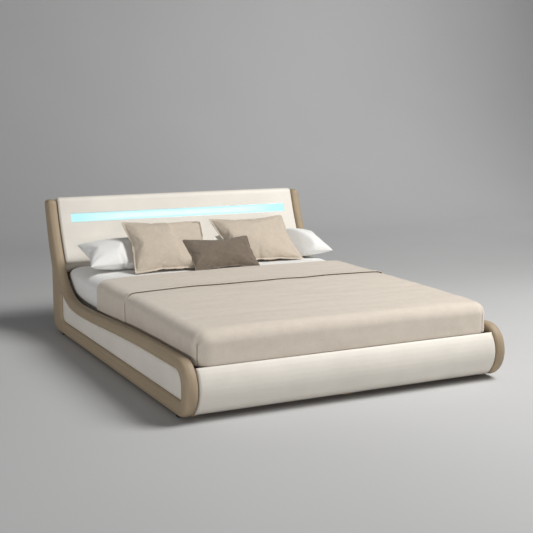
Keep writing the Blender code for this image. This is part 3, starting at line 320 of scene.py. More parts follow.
def evened(line, step, passes):
    """A closed line with even steps, its facets smoothed without shrinking it."""
    points = [Vector(p) for p in line]
    spans = [(a - b).length for a, b in zip(points, points[1:] + points[:1])]
    total = sum(spans)
    count = max(8, round(total / step))
    even = []
    index = 0
    gone = 0.0
    for i in range(count):
        want = total * i / count
        while gone + spans[index] < want:
            gone += spans[index]
            index += 1
        share = (want - gone) / spans[index]
        even.append(points[index].lerp(points[(index + 1) % len(points)], share))
    for turn in range(passes * 2):
        pull = 0.5 if turn % 2 == 0 else -0.52
        even = [
            p + ((even[i - 1] + even[(i + 1) % count]) / 2 - p) * pull for i, p in enumerate(even)
        ]
    return even


def sideways(line):
    """The outward direction at each point of an anticlockwise closed line."""
    count = len(line)
    ways = []
    for i in range(count):
        along = (line[(i + 1) % count] - line[i - 1]).normalized()
        ways.append(Vector((along.y, -along.x)))
    return ways


def loft(lines, stations, firmness=None):
    """A closed form across the bed from an outline and, for a ring, the outline of its hole.

    Each station is (x, how far the outline is drawn in). firmness, a function of a point and
    its outward way, says which share of that drawing in is followed there.
    """
    bm = bmesh.new()
    key = bm.verts.layers.int.new("place")
    ends = ([], [])
    for order, line in enumerate(lines):
        if (area([tuple(p) for p in line]) > 0) == (order > 0):
            line = line[::-1]
        ways = sideways(line)
        shares = [firmness(p, way) if firmness else 1.0 for p, way in zip(line, ways)]

        def spot(index, station):
            u, v = line[index] - ways[index] * station[1] * shares[index]
            return (station[0], u, v)

        ring = [bm.verts.new(spot(i, stations[0])) for i in range(len(line))]
        for i, vertex in enumerate(ring):
            vertex[key] = i
        edges = [bm.edges.new(pair) for pair in zip(ring, ring[1:] + ring[:1])]
        ends[0].extend(edges)
        for station in stations[1:]:
            made = bmesh.ops.extrude_edge_only(bm, edges=edges)["geom"]
            verts = {g for g in made if isinstance(g, bmesh.types.BMVert)}
            edges = [g for g in made if isinstance(g, bmesh.types.BMEdge) and set(g.verts) <= verts]
            for vertex in verts:
                vertex.co = spot(vertex[key], station)
        ends[1].extend(edges)
    for edges in ends:
        bmesh.ops.triangle_fill(bm, edges=edges, use_beauty=True, normal=(1.0, 0.0, 0.0))
    bmesh.ops.dissolve_degenerate(bm, dist=1e-5, edges=bm.edges)
    bmesh.ops.recalc_face_normals(bm, faces=bm.faces)
    return bm


def padded_stations(low, high, radius, crown, seam=0.0, bulge=0.0):
    """Stations from one face of a padded board to the other, with rounded edges.

    crown is how far the middle of each face stands proud, seam the depth of the stitched
    line beside the rounding, bulge how far the board's outline swells between its faces.
    """
    turns = [math.pi / 2 * i / 6 for i in range(7)]
    edge = [(crown + radius * (1 - math.cos(a)), radius * (1 - math.sin(a))) for a in turns]
    face = [(0.0, radius + 0.0040), (crown * 0.1, radius + 0.0032), (crown * 0.5, radius + 0.0022)]
    if seam:
        face += [(crown + seam, radius + 0.0014), (crown + seam, radius + 0.0008)]
    rows = face + edge
    middle = (low + high) / 2
    reach = (high - low) / 2 - crown - radius
    swell = [(middle + reach * s, -bulge * (1 - s * s)) for s in (-0.6, -0.2, 0.2, 0.6)]
    return [(low + d, i) for d, i in rows] + swell + [(high - d, i) for d, i in rows[::-1]]


def sharpen(mesh, degrees):
    """Smooth shading with edges kept sharp above an angle."""
    bm = bmesh.new()
    bm.from_mesh(mesh)
    limit = math.radians(degrees)
    for face in bm.faces:
        # A sliver has no direction of its own, and would darken the smooth faces round it.
        face.smooth = face.calc_area() > 0.001 * max(e.calc_length() for e in face.edges) ** 2
    for edge in bm.edges:
        edge.smooth = len(edge.link_faces) != 2 or edge.calc_face_angle(0.0) < limit
    bm.to_mesh(mesh)
    bm.free()


def piece(name, bm, material, body, slot, nodes=(), degrees=40):
    """A finished object at the origin from a bmesh, riding on its body."""
    mesh = bpy.data.meshes.new(name)
    bm.to_mesh(mesh)
    bm.free()
    item = bpy.data.objects.new(name, mesh)
    bpy.context.scene.collection.objects.link(item)
    mesh.materials.append(material)
    sharpen(mesh, degrees)
    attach(item, body)
    if nodes:
        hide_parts(*nodes)
    return item


def thicken(item, thickness):
    """A real thickness behind a sheet's outer face."""
    solid = item.modifiers.new("thickness", "SOLIDIFY")
    solid.thickness = thickness
    solid.offset = -1.0


def settled_mesh(item):
    """An object's mesh with its modifiers applied, the object itself taken away."""
    mesh = bpy.data.meshes.new_from_object(item.evaluated_get(bpy.context.evaluated_depsgraph_get()))
    bpy.data.objects.remove(item, do_unlink=True)
    return mesh


def loose(name, bm):
    """A helper object from a bmesh, taken away again before the scene is done."""
    mesh = bpy.data.meshes.new(name)
    bm.to_mesh(mesh)
    bm.free()
    item = bpy.data.objects.new(name, mesh)
    bpy.context.scene.collection.objects.link(item)
    return item


def ripple(place, scale, seed):
    """A smooth random height from -1 to 1 at a place."""
    return noise.noise(Vector(place) * scale + Vector((seed, seed * 1.7, seed * 0.3)))


def ease(value, low, high):
    """A smooth step from 0 at low to 1 at high."""
    share = min(1.0, max(0.0, (value - low) / (high - low)))
    return share * share * (3 - 2 * share)


def sag(x, y):
    """How far the top of the bed has settled at a place."""
    across = 0.008 * min(1.0, abs(x) / HALF_WIDTH) ** 4
    along = 0.014 * max(0.0, 1.0 - max(0.0, y - MATTRESS_FOOT)) ** 2
    return across + along


def box_form(low, high):
    """A plain box between two corners, as the start of a rounded form."""
    bm = bmesh.new()
    bmesh.ops.create_cube(bm, size=1.0)
    low = Vector(low)
    high = Vector(high)
    bmesh.ops.scale(bm, vec=high - low, verts=bm.verts)
    bmesh.ops.translate(bm, vec=(low + high) / 2, verts=bm.verts)
    return bm


def round_off(bm, edges, radius, steps):
    """Round edges with even segments."""
    bmesh.ops.bevel(
        bm, geom=edges, offset=radius, offset_type="OFFSET", segments=steps,
        profile=0.5, affect="EDGES", clamp_overlap=False, material=-1,
    )


def cover_form(low, high, corner, edge, cell, lower_edge=0.0):
    """A rounded block like a made bed, cut into even cells so that it can take folds."""
    bm = box_form(low, high)
    upright = [e for e in bm.edges if abs(e.verts[0].co.z - e.verts[1].co.z) > 1e-4]
    round_off(bm, upright, corner, 8)
    upper = [e for e in bm.edges if min(v.co.z for v in e.verts) > high[2] - 1e-5]
    round_off(bm, upper, edge, 8)
    if lower_edge:
        lower = [e for e in bm.edges if max(v.co.z for v in e.verts) < low[2] + 1e-5]
        round_off(bm, lower, lower_edge, 6)
    for axis in range(3):
        long = []
        for e in bm.edges:
            way = e.verts[0].co - e.verts[1].co
            if abs(way[axis]) > cell * 1.5 and abs(way[axis]) > 0.999 * way.length:
                long.append(e)
        if long:
            span = max(e.calc_length() for e in long)
            cuts = max(1, round(span / cell) - 1)
            bmesh.ops.subdivide_edges(bm, edges=long, cuts=cuts, use_grid_fill=True)
    return bm


def open_below(bm, level):
    """Take away a block's bottom, so that it is a cover open below."""
    bottom = [f for f in bm.faces if f.normal.z < -0.9 and f.calc_center_median().z < level + 1e-4]
    bmesh.ops.delete(bm, geom=bottom, context="FACES")


def settle(bm):
    """Let the top of the bedding fall a little to its sides and towards the foot."""
    for vertex in bm.verts:
        x, y, z = vertex.co
        weight = min(1.0, max(0.0, (z - MATTRESS_HIGH[2] + 0.100) / 0.060))
        vertex.co.z -= weight * sag(x, y)


def roll_edge(bm, edges, out, radius, steps, sweep):
    """Roll a cloth's edge under itself: out is its outward direction, radius the roll's."""
    bm.normal_update()
    key = bm.verts.layers.int.new("roll")
    start = {}
    for order, vertex in enumerate({v for e in edges for v in e.verts}):
        vertex[key] = order + 1
        start[order + 1] = (vertex.co.copy(), vertex.normal.copy())
    out = Vector(out)
    for i in range(steps):
        turn = sweep * (i + 1) / steps
        made = bmesh.ops.extrude_edge_only(bm, edges=edges)["geom"]
        verts = {g for g in made if isinstance(g, bmesh.types.BMVert)}
        edges = [g for g in made if isinstance(g, bmesh.types.BMEdge) and set(g.verts) <= verts]
        for vertex in verts:
            place, normal = start[vertex[key]]
            normal = (normal - out * normal.dot(out)).normalized()
            vertex.co = place + out * radius * math.sin(turn) - normal * radius * (1 - math.cos(turn))
    bm.verts.layers.int.remove(key)


def flat_uv(bm):
    """A UV map in metres from each face's own direction, so that a weave keeps its size."""
    layer = bm.loops.layers.uv.verify()
    for face in bm.faces:
        n = face.normal
        axis = max(range(3), key=lambda i: abs(n[i]))
        for loop in face.loops:
            x, y, z = loop.vert.co
            loop[layer].uv = ((x, y) if axis == 2 else (x, z) if axis == 1 else (y, z))


def cord_round(bm, low, high, corner, level, radius):
    """Add a corded edge round a rounded rectangle to a bmesh."""
    data = bpy.data.curves.new("cord", "CURVE")
    data.dimensions = "3D"
    data.bevel_depth = radius
    data.bevel_resolution = 2
    places = []
    for cx, cy, start in (
        (high[0] - corner, high[1] - corner, 0), (low[0] + corner, high[1] - corner, 90),
        (low[0] + corner, low[1] + corner, 180), (high[0] - corner, low[1] + corner, 270),
    ):
        for i in range(9):
            turn = math.radians(start + 90 * i / 8)
            places.append((cx + corner * math.cos(turn), cy + corner * math.sin(turn)))
    spline = data.splines.new("POLY")
    spline.points.add(len(places) - 1)
    for point, (x, y) in zip(spline.points, places):
        point.co = (x, y, level, 1.0)
    spline.use_cyclic_u = True
    item = bpy.data.objects.new("cord", data)
    bpy.context.scene.collection.objects.link(item)
    bm.from_mesh(settled_mesh(item))


# ---------------------------------------------------------------- pieces

def side_frames(sizes, colours):
    """The two looped side frames and the panels in them."""
    # Taupe hide, stretched tight over a padded board: soft edges and hardly a fold
    taupe = leather("taupe upholstery leather", tuple(colours.taupe), 0.52, 0.10)
    # The same hide in cream, a little glossier
    cream = leather("cream upholstery leather", tuple(colours.cream), 0.46, 0.10)
    for side, word in ((-1, "left"), (1, "right")):
        middle = side * (INNER + OUTER) / 2
        outer, hole = outlines(f"side_frame_{word}", middle)
        low, high = sorted((side * INNER, side * OUTER))
        rows = padded_stations(low, high, sizes.frame_round, 0.0012, sizes.seam_depth, 0.0015)
        bm = loft([evened(outer, 0.012, 6), evened(hole, 0.009, 3)], rows)
        piece(f"side_frame_cover_{word}", bm, taupe, "bed_frame", "taupe_leather", [f"side_frame_{word}"])
        panel_low, panel_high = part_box(f"side_panel_{word}")
        line = outlines(f"side_panel_{word}", (panel_low[0] + panel_high[0]) / 2)[0]
        rows = padded_stations(panel_low[0], panel_high[0], 0.009, 0.0015)
        bm = loft([evened(line, 0.009, 3)], rows)
        piece(f"side_panel_cover_{word}", bm, cream, "bed_frame", "cream_leather", [f"side_panel_{word}"])


def foot_end(sizes, colours):
    """The cream foot end, rolled over at the top and rounded at both ends."""
    cream = bpy.data.materials["cream upholstery leather"]
    line = evened(outlines("foot_panel", 0.0)[0], 0.006, 2)
    half = INNER - 0.0015
    radius = sizes.end_round
    turns = [math.pi / 2 * i / 7 for i in range(8)]
    edge = [(radius * (1 - math.cos(a)), radius * (1 - math.sin(a))) for a in turns]
    stations = [(-half + d, i) for d, i in edge]
    stations += [((half - radius) * (i / 20 - 1), 0.0) for i in range(1, 40)]
    stations += [(half - d, i) for d, i in edge[::-1]]

    def firmness(point, way):
        # The rounding fades out at the hidden faces behind the roll.
        return ease(-way.x, -0.2, 0.6) * ease(0.045 + FOOT - point.x, -0.02, 0.02)

    bm = loft([line], stations, firmness)
    piece("foot_panel_cover", bm, cream, "bed_frame", "cream_leather", ["foot_panel"], 50)


def groove_form():
    """The room that the light channel takes in the pad, a little wider and open in front."""
    bm = bmesh.new()
    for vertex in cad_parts["led_channel"].data.vertices:
        bm.verts.new(vertex.co)
    bmesh.ops.remove_doubles(bm, verts=bm.verts, dist=1e-5)
    made = bmesh.ops.convex_hull(bm, input=bm.verts)
    inside = [g for g in made["geom_interior"] if isinstance(g, bmesh.types.BMVert)]
    bmesh.ops.delete(bm, geom=inside, context="VERTS")
    bmesh.ops.recalc_face_normals(bm, faces=bm.faces)
    middle = sum((v.co for v in bm.verts), Vector()) / len(bm.verts)
    for vertex in bm.verts:
        away = vertex.co - middle
        vertex.co += Vector((math.copysign(0.0004, away.x), math.copysign(0.0006, away.y), math.copysign(0.0004, away.z)))
    front = max(bm.faces, key=lambda f: f.calc_area() * (f.normal.y < -0.5))
    out = front.normal.copy()
    for vertex in {v for f in bm.faces if f.normal.dot(out) > 0.98 for v in f.verts}:
        vertex.co += out * 0.02
    return bm


def headboard(sizes, colours):
    """The cream headboard pad with its groove, and the leather back behind it."""
    cream = bpy.data.materials["cream upholstery leather"]
    taupe = bpy.data.materials["taupe upholstery leather"]
    low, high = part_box("headboard_pad")
    line = evened(outlines("headboard_pad", high[0] * 0.966)[0], 0.010, 3)
    for point in line:
        # Below its board the padding hangs down behind the mattress, clear of its way up.
        lower = 1 - ease(point.y, low[2] + 0.012, low[2] + 0.055)
        behind = ease(point.x, MATTRESS_HEAD + 0.005, MATTRESS_HEAD + 0.035)
        point.y -= sizes.pad_drop * lower * (0.25 + 0.75 * behind)
        point.x -= 0.028 * lower * ease(point.x, MATTRESS_HEAD + 0.050, MATTRESS_HEAD + 0.090)
    pad = loose("pad", loft([line], padded_stations(low[0], high[0], sizes.pad_round, 0.001, 0.0, 0.001)))
    groove = loose("groove", groove_form())
    cut = pad.modifiers.new("groove", "BOOLEAN")
    cut.operation = "DIFFERENCE"
    cut.object = groove
    cut.solver = "EXACT"
    bm = bmesh.new()
    bm.from_mesh(settled_mesh(pad))
    bpy.data.objects.remove(groove, do_unlink=True)
    for vertex in bm.verts:
        # At both sides it hangs lower, as the mattress's edge falls away there.
        low_part = 1 - ease(vertex.co.z, low[2] - sizes.pad_drop, low[2] + 0.010)
        behind = ease(vertex.co.y, MATTRESS_HEAD + 0.005, MATTRESS_HEAD + 0.030)
        vertex.co.z -= 0.022 * low_part * behind * ease(abs(vertex.co.x), high[0] * 0.6, high[0])
    item = piece("headboard_pad_cover", bm, cream, "bed_frame", "cream_leather", ["headboard_pad"], 45)
    low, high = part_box("headboard_back")
    line = evened(outlines("headboard_back", 0.0)[0], 0.008, 2)
    bm = loft([line], padded_stations(low[0], high[0], 0.004, 0.0005))
    piece("headboard_back_cover", bm, taupe, "bed_frame", "taupe_leather", ["headboard_back"])


def sprung_mattress(sizes, colours):
    """The mattress under the sheet: quilted ticking with a corded edge below."""
    # Damask-like ticking, thick and matt, held down by quilting every 10 cm
    ticking = woven("ivory mattress ticking", shade("#e0dace"), 1.6, 0.0003, 0.05, 0.05, 0.1, "Object")
    low = Vector(MATTRESS_LOW) + Vector((0.001, 0.001, 0.0))
    high = Vector(MATTRESS_HIGH) - Vector((0.001, 0.001, 0.0))
    bm = cover_form(low, high, MATTRESS_CORNER, 0.062, 0.04, 0.028)
    for vertex in bm.verts:
        x, y, z = vertex.co
        if z < low.z + 0.001:
            quilt = math.cos(math.pi * (x + y) / 0.10) * math.cos(math.pi * (x - y) / 0.10)
            vertex.co.z += 0.002 * (1 - abs(quilt))
    settle(bm)
    cord_round(bm, low + Vector((0.003, 0.003, 0.0)), high - Vector((0.003, 0.003, 0.0)), MATTRESS_CORNER, low.z + 0.026, 0.0035)
    item = piece("mattress_body", bm, ticking, "lift_base", "mattress_ticking", ["mattress"])


def fitted_sheet(sizes, colours):
    """The white sheet over the mattress, soft at its edges, with small pulls at its corners."""
    # Cotton percale: fine, matt and close, it shows its folds more than its threads
    cotton = woven("white cotton percale", tuple(colours.white), 0.8, 0.00012, 0.012, 0.02, 0.10)
    bm = cover_form(SHEET_LOW, SHEET_HIGH, MATTRESS_CORNER, 0.063, 0.016)
    open_below(bm, SHEET_LOW[2])
    settle(bm)
    bm.normal_update()
    for vertex in bm.verts:
        x, y, z = vertex.co
        free = ease(y, DUVET_HEAD - 0.13, DUVET_HEAD + 0.02)
        soft = 0.0016 * ripple((x, y, z), 7.0, 3.0) + 0.0009 * ripple((x * 2.2, y, z), 16.0, 9.0)
        edge = ease(abs(x), HALF_WIDTH - 0.10, HALF_WIDTH - 0.01)
        pulls = 0.0014 * math.sin(y * 38 + z * 16) * edge * ease(z, SHEET_LOW[2], SHEET_TOP)
        vertex.co += vertex.normal * (soft + pulls) * (0.3 + 0.7 * free)
        # Beside the pillows the side swells out over the frame.
        beside = ease(y, DUVET_HEAD - 0.16, DUVET_HEAD - 0.02)
        swollen = ease(z, SHEET_LOW[2] + 0.01, SHEET_LOW[2] + 0.07) * (1 - 0.7 * ease(z, SHEET_TOP - 0.045, SHEET_TOP + 0.01))
        vertex.co.x += math.copysign(sizes.sheet_swell, x) * beside * swollen * ease(abs(x), HALF_WIDTH - 0.10, HALF_WIDTH - 0.02)
        # Its head corners fill out, where the corner seams are sewn.
        at_corner = ease(abs(x), HALF_WIDTH - MATTRESS_CORNER, HALF_WIDTH - 0.02) * ease(y, MATTRESS_HEAD - MATTRESS_CORNER, MATTRESS_HEAD - 0.02)
        vertex.co += Vector((math.copysign(0.008, x), 0.005, 0.005)) * at_corner
    flat_uv(bm)
    covered = sum(f.calc_area() for f in bm.faces)
    item = piece("fitted_sheet_cloth", bm, cotton, "lift_base", "white_cotton", ["fitted_sheet"])
    thicken(item, 0.0012)


def start_pleat(bm, side, turn, key):
    """Split the upright edges at a foot corner, so that a pleat can be pushed in there.

    turn is the angle from the bed's side, round the corner towards the foot.
    """
    middle = Vector((side * (DUVET_HIGH[0] - DUVET_CORNER), DUVET_LOW[1] + DUVET_CORNER, 0.0))
    way = Vector((side * math.cos(turn), -math.sin(turn), 0.0))
    spot = middle + way * DUVET_CORNER
    edges = []
    for e in bm.edges:
        a, b = (v.co for v in e.verts)
        if (a - b).to_2d().length < 1e-5 and (a.to_2d() - spot.to_2d()).length < 0.006:
            edges.append(e)
    columns = sorted({round((e.verts[0].co.to_2d() - spot.to_2d()).length, 5) for e in edges})
    edges = [e for e in edges if round((e.verts[0].co.to_2d() - spot.to_2d()).length, 5) == columns[0]]
    line = edges[0].verts[0].co.to_2d()
    bmesh.ops.bevel(
        bm, geom=edges, offset=0.0035, offset_type="OFFSET", segments=2,
        profile=0.5, affect="EDGES", clamp_overlap=False, material=-1,
    )
    for vertex in bm.verts:
        if (vertex.co.to_2d() - line).length < 0.0015 and vertex.co.z < DUVET_TOP - 0.055:
            vertex[key] = 1 if side < 0 else 2
        beside = vertex.co.to_2d() - middle.to_2d()
        if vertex.co.z > DUVET_TOP - 0.060 and beside.length > 0.03 and beside.angle(way.to_2d()) < 0.04:
            vertex[key] = 1 if side < 0 else 2
    return way


def fold_cover(foot, head, settings_round):
    """A length of the bedspread over the mattress, open below, from its foot to its head side."""
    side = DUVET_HIGH[0]
    start = DUVET_LOW[1] if foot is None else foot - 0.08
    bm = cover_form((-side, start, DUVET_HEM), (side, head + 0.08, DUVET_TOP), DUVET_CORNER, settings_round, 0.0125)
    cuts = [(head, {"clear_outer": True})] + ([] if foot is None else [(foot, {"clear_inner": True})])
    for place, clear in cuts:
        bmesh.ops.bisect_plane(
            bm, geom=whole(bm), dist=1e-6, plane_co=(0.0, place, 0.0), plane_no=(0.0, 1.0, 0.0), **clear,
        )
    open_below(bm, DUVET_HEM)
    return bm


def drape(bm, lift, high_room):
    """Give a cover the bedspread's soft swells, drag lines and fine streaks.

    lift, a function of a place, says how far the cloth stands off the bed there.
    """
    bm.normal_update()
    for vertex in bm.verts:
        x, y, z = vertex.co
        n = vertex.normal
        broad = 0.0032 * ripple((x, y, z * 2), 3.1, 5.0) + 0.0016 * ripple((x, y * 2.4, z), 8.0, 1.0)
        streaks = 0.0020 * ripple((x * 2.6, y * 15.0, z * 9.0), 1.0, 7.0) + 0.0010 * ripple((x * 7.0, y * 30.0, z * 20.0), 1.0, 2.0)
        drag = 0.0016 * ripple((x * 14.0, y * 3.0, z * 3.0), 1.0, 4.0) * (1 - ease(y, DUVET_LOW[1], DUVET_LOW[1] + 0.10))
        hem = 0.35 + 0.65 * ease(z, DUVET_HEM, DUVET_HEM + 0.03)
        upright = abs(n.x) > 0.7 or n.y < -0.7
        room = 0.0045 if upright else high_room
        vertex.co += n * (max(-0.006, min(0.0045, (broad + streaks + drag) * hem)) + min(room, lift(x, y, z)))


def bedspread(sizes, colours):
    """The sand bedspread: its main length over the foot, and its head part turned down on it."""
    # Brushed cotton with a short soft nap, matt, that gathers light along its folds
    cotton = woven("sand brushed cotton", tuple(colours.bedspread), 1.2, 0.0003, 0.035, 0.05, 0.35)
    main = fold_cover(None, TURN_DOWN + 0.06, sizes.bed_round)
    key = main.verts.layers.int.new("pleat")
    ways = {1: start_pleat(main, -1, math.radians(33.75), key), 2: start_pleat(main, 1, math.radians(67.5), key)}
    settle(main)
    drape(main, lambda x, y, z: 0.0, 0.012)
    for vertex in main.verts:
        if vertex[key]:
            depth = sizes.pleat_depth * (1 - ease(vertex.co.z, DUVET_TOP - 0.100, DUVET_TOP - 0.012))
            vertex.co -= ways[vertex[key]] * depth
    main.verts.layers.int.remove(key)
    turned = fold_cover(TURN_DOWN, DUVET_HEAD - 0.008, sizes.bed_round)
    settle(turned)

    def free_edge(x, y, z):
        # The hem of the turned-down part stands a few millimetres off the cloth under it.
        return sizes.turn_down_step - (sizes.turn_down_step - 0.0035) * ease(y - TURN_DOWN, 0.0, 0.10)

    drape(turned, free_edge, 0.012)
    for vertex in turned.verts:
        x, y, z = vertex.co
        near = 1 - ease(y - TURN_DOWN, 0.0, 0.12)
        vertex.co.y += near * (0.007 * ripple((x, z, 0.0), 2.2, 6.0) + 0.003 * ripple((x, z, 0.0), 7.0, 2.0))
    head_edge = [e for e in turned.edges if e.is_boundary and min(v.co.y for v in e.verts) > DUVET_HEAD - 0.012]
    head_edge = [e for e in head_edge if max(v.co.z for v in e.verts) > DUVET_HEM + 0.004]
    roll_edge(turned, head_edge, (0.0, 1.0, 0.0), 0.008, 6, math.radians(165))
    for name, bm, length in (("duvet_main", main, TURN_DOWN + 0.06), ("duvet_turndown", turned, DUVET_HEAD)):
        hem = [e for e in bm.edges if e.is_boundary and max(v.co.z for v in e.verts) < DUVET_HEM + 0.006]
        roll_edge(bm, hem, (0.0, 0.0, -1.0), 0.004, 4, math.radians(150))
        bmesh.ops.recalc_face_normals(bm, faces=bm.faces)
        flat_uv(bm)
        covered = sum(f.calc_area() for f in bm.faces)
        item = piece(name, bm, cotton, "lift_base", "duvet_cotton")
        thicken(item, 0.0022)
        if name == "duvet_main":
            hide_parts("duvet")


# name: width, height, crown, flange, middle of lower seam (x, from mattress head, over the
# sheet), lean from upright and turn in degrees
CUSHIONS = {
    "pillow_left": (0.705, 0.330, 0.172, 0.0, -0.412, 0.419, 0.044, 75, -3),
    "pillow_right": (0.680, 0.330, 0.172, 0.0, 0.462, 0.419, 0.044, 75, -3),
    "cushion_left": (0.505, 0.382, 0.125, 0.012, -0.284, 0.514, 0.0015, 45, -3),
    "cushion_right": (0.518, 0.382, 0.125, 0.012, 0.338, 0.435, 0.0015, 49, 2),
    "lumbar_cushion": (0.425, 0.248, 0.095, 0.006, 0.018, 0.567, 0.0015, 48, 1),
}
# plane: the cushion it stands behind, how far, its own turn in degrees and its half width
PLANES = {
    "left": ("cushion_left", 0.046, -3, 0.245),
    "right": ("cushion_right", 0.046, 2, 0.245),
    "front": ("lumbar_cushion", 0.034, 15, 0.245),
}
# cushion: the planes that press it, 1 from behind and -1 from in front
PRESSES = {
    "pillow_left": [("left", -1)],
    "pillow_right": [("right", -1)],
    "cushion_left": [("left", 1), ("front", -1)],
    "cushion_right": [("right", 1)],
    "lumbar_cushion": [("front", 1)],
}


def pouch(width, height, cell, fill):
    """Two layers of cloth joined round their edge, slightly parted, lying flat."""
    bm = bmesh.new()
    columns = max(8, round(width / cell))
    rows = max(8, round(height / cell))
    bmesh.ops.create_grid(bm, x_segments=columns, y_segments=rows, size=1.0)
    layer = bm.loops.layers.uv.verify()
    for face in bm.faces:
        for loop in face.loops:
            loop[layer].uv = (loop.vert.co.x * width / 2, loop.vert.co.y * height / 2)
    shell = bmesh.ops.extrude_face_region(bm, geom=list(bm.faces), use_keep_orig=True)
    upper = {g for g in shell["geom"] if isinstance(g, bmesh.types.BMVert)}
    for vertex in bm.verts:
        u, v = vertex.co.x, vertex.co.y
        swell = math.sqrt(max(0.0, (1 - u ** 4) * (1 - v ** 4)))
        depth = 0.001 + fill * swell
        vertex.co = (u * width / 2, v * height / 2, depth if vertex in upper else -depth)
    bmesh.ops.recalc_face_normals(bm, faces=bm.faces)
    return bm


def inflate(items, pressure, frames):
    """Swell cloth pouches by air pressure, all in one run, and leave plain meshes."""
    scene = bpy.context.scene
    scene.frame_set(1)
    for item in items:
        cloth = item.modifiers.new("fill", "CLOTH")
        cloth.settings.use_pressure = True
        cloth.settings.uniform_pressure_force = pressure
        cloth.settings.quality = 6
        cloth.settings.mass = 0.25
        cloth.settings.air_damping = 4.0
        cloth.settings.tension_stiffness = 40.0
        cloth.settings.compression_stiffness = 20.0
        cloth.settings.shear_stiffness = 12.0
        cloth.settings.bending_stiffness = 0.12
        cloth.settings.effector_weights.gravity = 0.0
        cloth.collision_settings.use_collision = False
        cloth.point_cache.frame_start = 1
        cloth.point_cache.frame_end = frames
    for number in range(1, frames + 1):
        scene.frame_set(number)
    graph = bpy.context.evaluated_depsgraph_get()
    for item in items:
        swollen = bpy.data.meshes.new_from_object(item.evaluated_get(graph))
        item.modifiers.clear()
        flat = item.data
        item.data = swollen
        bpy.data.meshes.remove(flat)
    scene.frame_set(1)


def soft_press(bm, point, normal, reach, blend=0.012):
    """Keep a cushion before a plane, softly at the rim of the pressed place.

    Past its reach to either side the plane gives way by as much as the distance.
    """
    for vertex in bm.verts:
        aside = max(0.0, abs(vertex.co.x - point.x) - reach)
        beyond = (vertex.co - point).dot(normal) - aside
        if beyond > blend:
            vertex.co -= normal * beyond
        elif beyond > -blend:
            vertex.co -= normal * (beyond + blend) ** 2 / (4 * blend)


def stand_matrix(place, lean, turn):
    """Where a cushion stands: on its lower seam, leaning back, turned a little."""
    return (
        Matrix.Translation(place) @ Matrix.Rotation(math.radians(turn), 4, "Z")
        @ Matrix.Rotation(math.pi / 2 - math.radians(lean), 4, "X")
    )


def add_flange(bm, rim, homes, width):
    """Sew two layers of cloth together past the seam, all round a cushion."""
    key = bm.verts.layers.int.new("home")
    bm.verts.index_update()
    for vertex in bm.verts:
        vertex[key] = vertex.index
    bm.faces.ensure_lookup_table()
    made = bmesh.ops.extrude_face_region(bm, geom=[bm.faces[i] for i in rim])["geom"]
    for vertex in [g for g in made if isinstance(g, bmesh.types.BMVert)]:
        u, v, side = homes[vertex[key]]
        vertex.co.x += math.copysign(width, u) * (abs(u) > 0.999)
        vertex.co.y += math.copysign(width, v) * (abs(v) > 0.999)
        wave = 0.0016 * ripple((vertex.co.x, vertex.co.y, 0.0), 24.0, 5.0)
        vertex.co.z = math.copysign(0.0011, side) + wave
    bm.verts.layers.int.remove(key)


def stuffed(form, homes, rim, size, draw):
    """A filled cushion from its swollen pouch: corners kept out, sides drawn in a little."""
    width, height, crown, flange = size
    bm = bmesh.new()
    bm.from_mesh(form.data)
    half = (width / 2 - flange, height / 2 - flange)
    reach = [max(abs(v.co[i]) for v in bm.verts) for i in range(3)]
    bm.verts.ensure_lookup_table()
    for vertex, (u, v, side) in zip(bm.verts, homes):
        flat = (u * half[0] * (1 - draw * (1 - v * v)), v * half[1] * (1 - draw * (1 - u * u)))
        puffed = [vertex.co[i] * half[i] / reach[i] for i in range(2)]
        for i in range(2):
            vertex.co[i] = flat[i] * 0.5 + puffed[i] * 0.5
        vertex.co.z *= crown / 2 / reach[2]
        dents = 0.0022 * ripple((u * 2.0, v * 2.0, side), 1.6, 8.0) * (1 - u * u) * (1 - v * v)
        # Creases fan out from each corner, where the filling gives out.
        away = Vector(((1 - abs(u)) * half[0], (1 - abs(v)) * half[1]))
        fan = math.sin(9.0 * math.atan2(away.y, away.x + 1e-6) + 2.0 * u + 3.0 * v)
        near = ease(away.length, 0.012, 0.045) * (1 - ease(away.length, 0.050, 0.150))
        vertex.co.z += math.copysign(1.0, side) * (dents + 0.0024 * fan * near)
    if flange:
        add_flange(bm, rim, homes, flange)
    bmesh.ops.translate(bm, vec=(0.0, height / 2, 0.0), verts=bm.verts)
    return bm


def rest_on_sheet(bm):
    """Flatten a cushion where it lies on the sheet, softly at the rim of that place."""
    soft = 0.010
    for vertex in bm.verts:
        rest = SHEET_TOP - sag(vertex.co.x, vertex.co.y) + 0.0012
        low = rest - vertex.co.z
        if low > -soft:
            vertex.co.z = rest if low > soft else rest + (soft - low) ** 2 / (4 * soft)


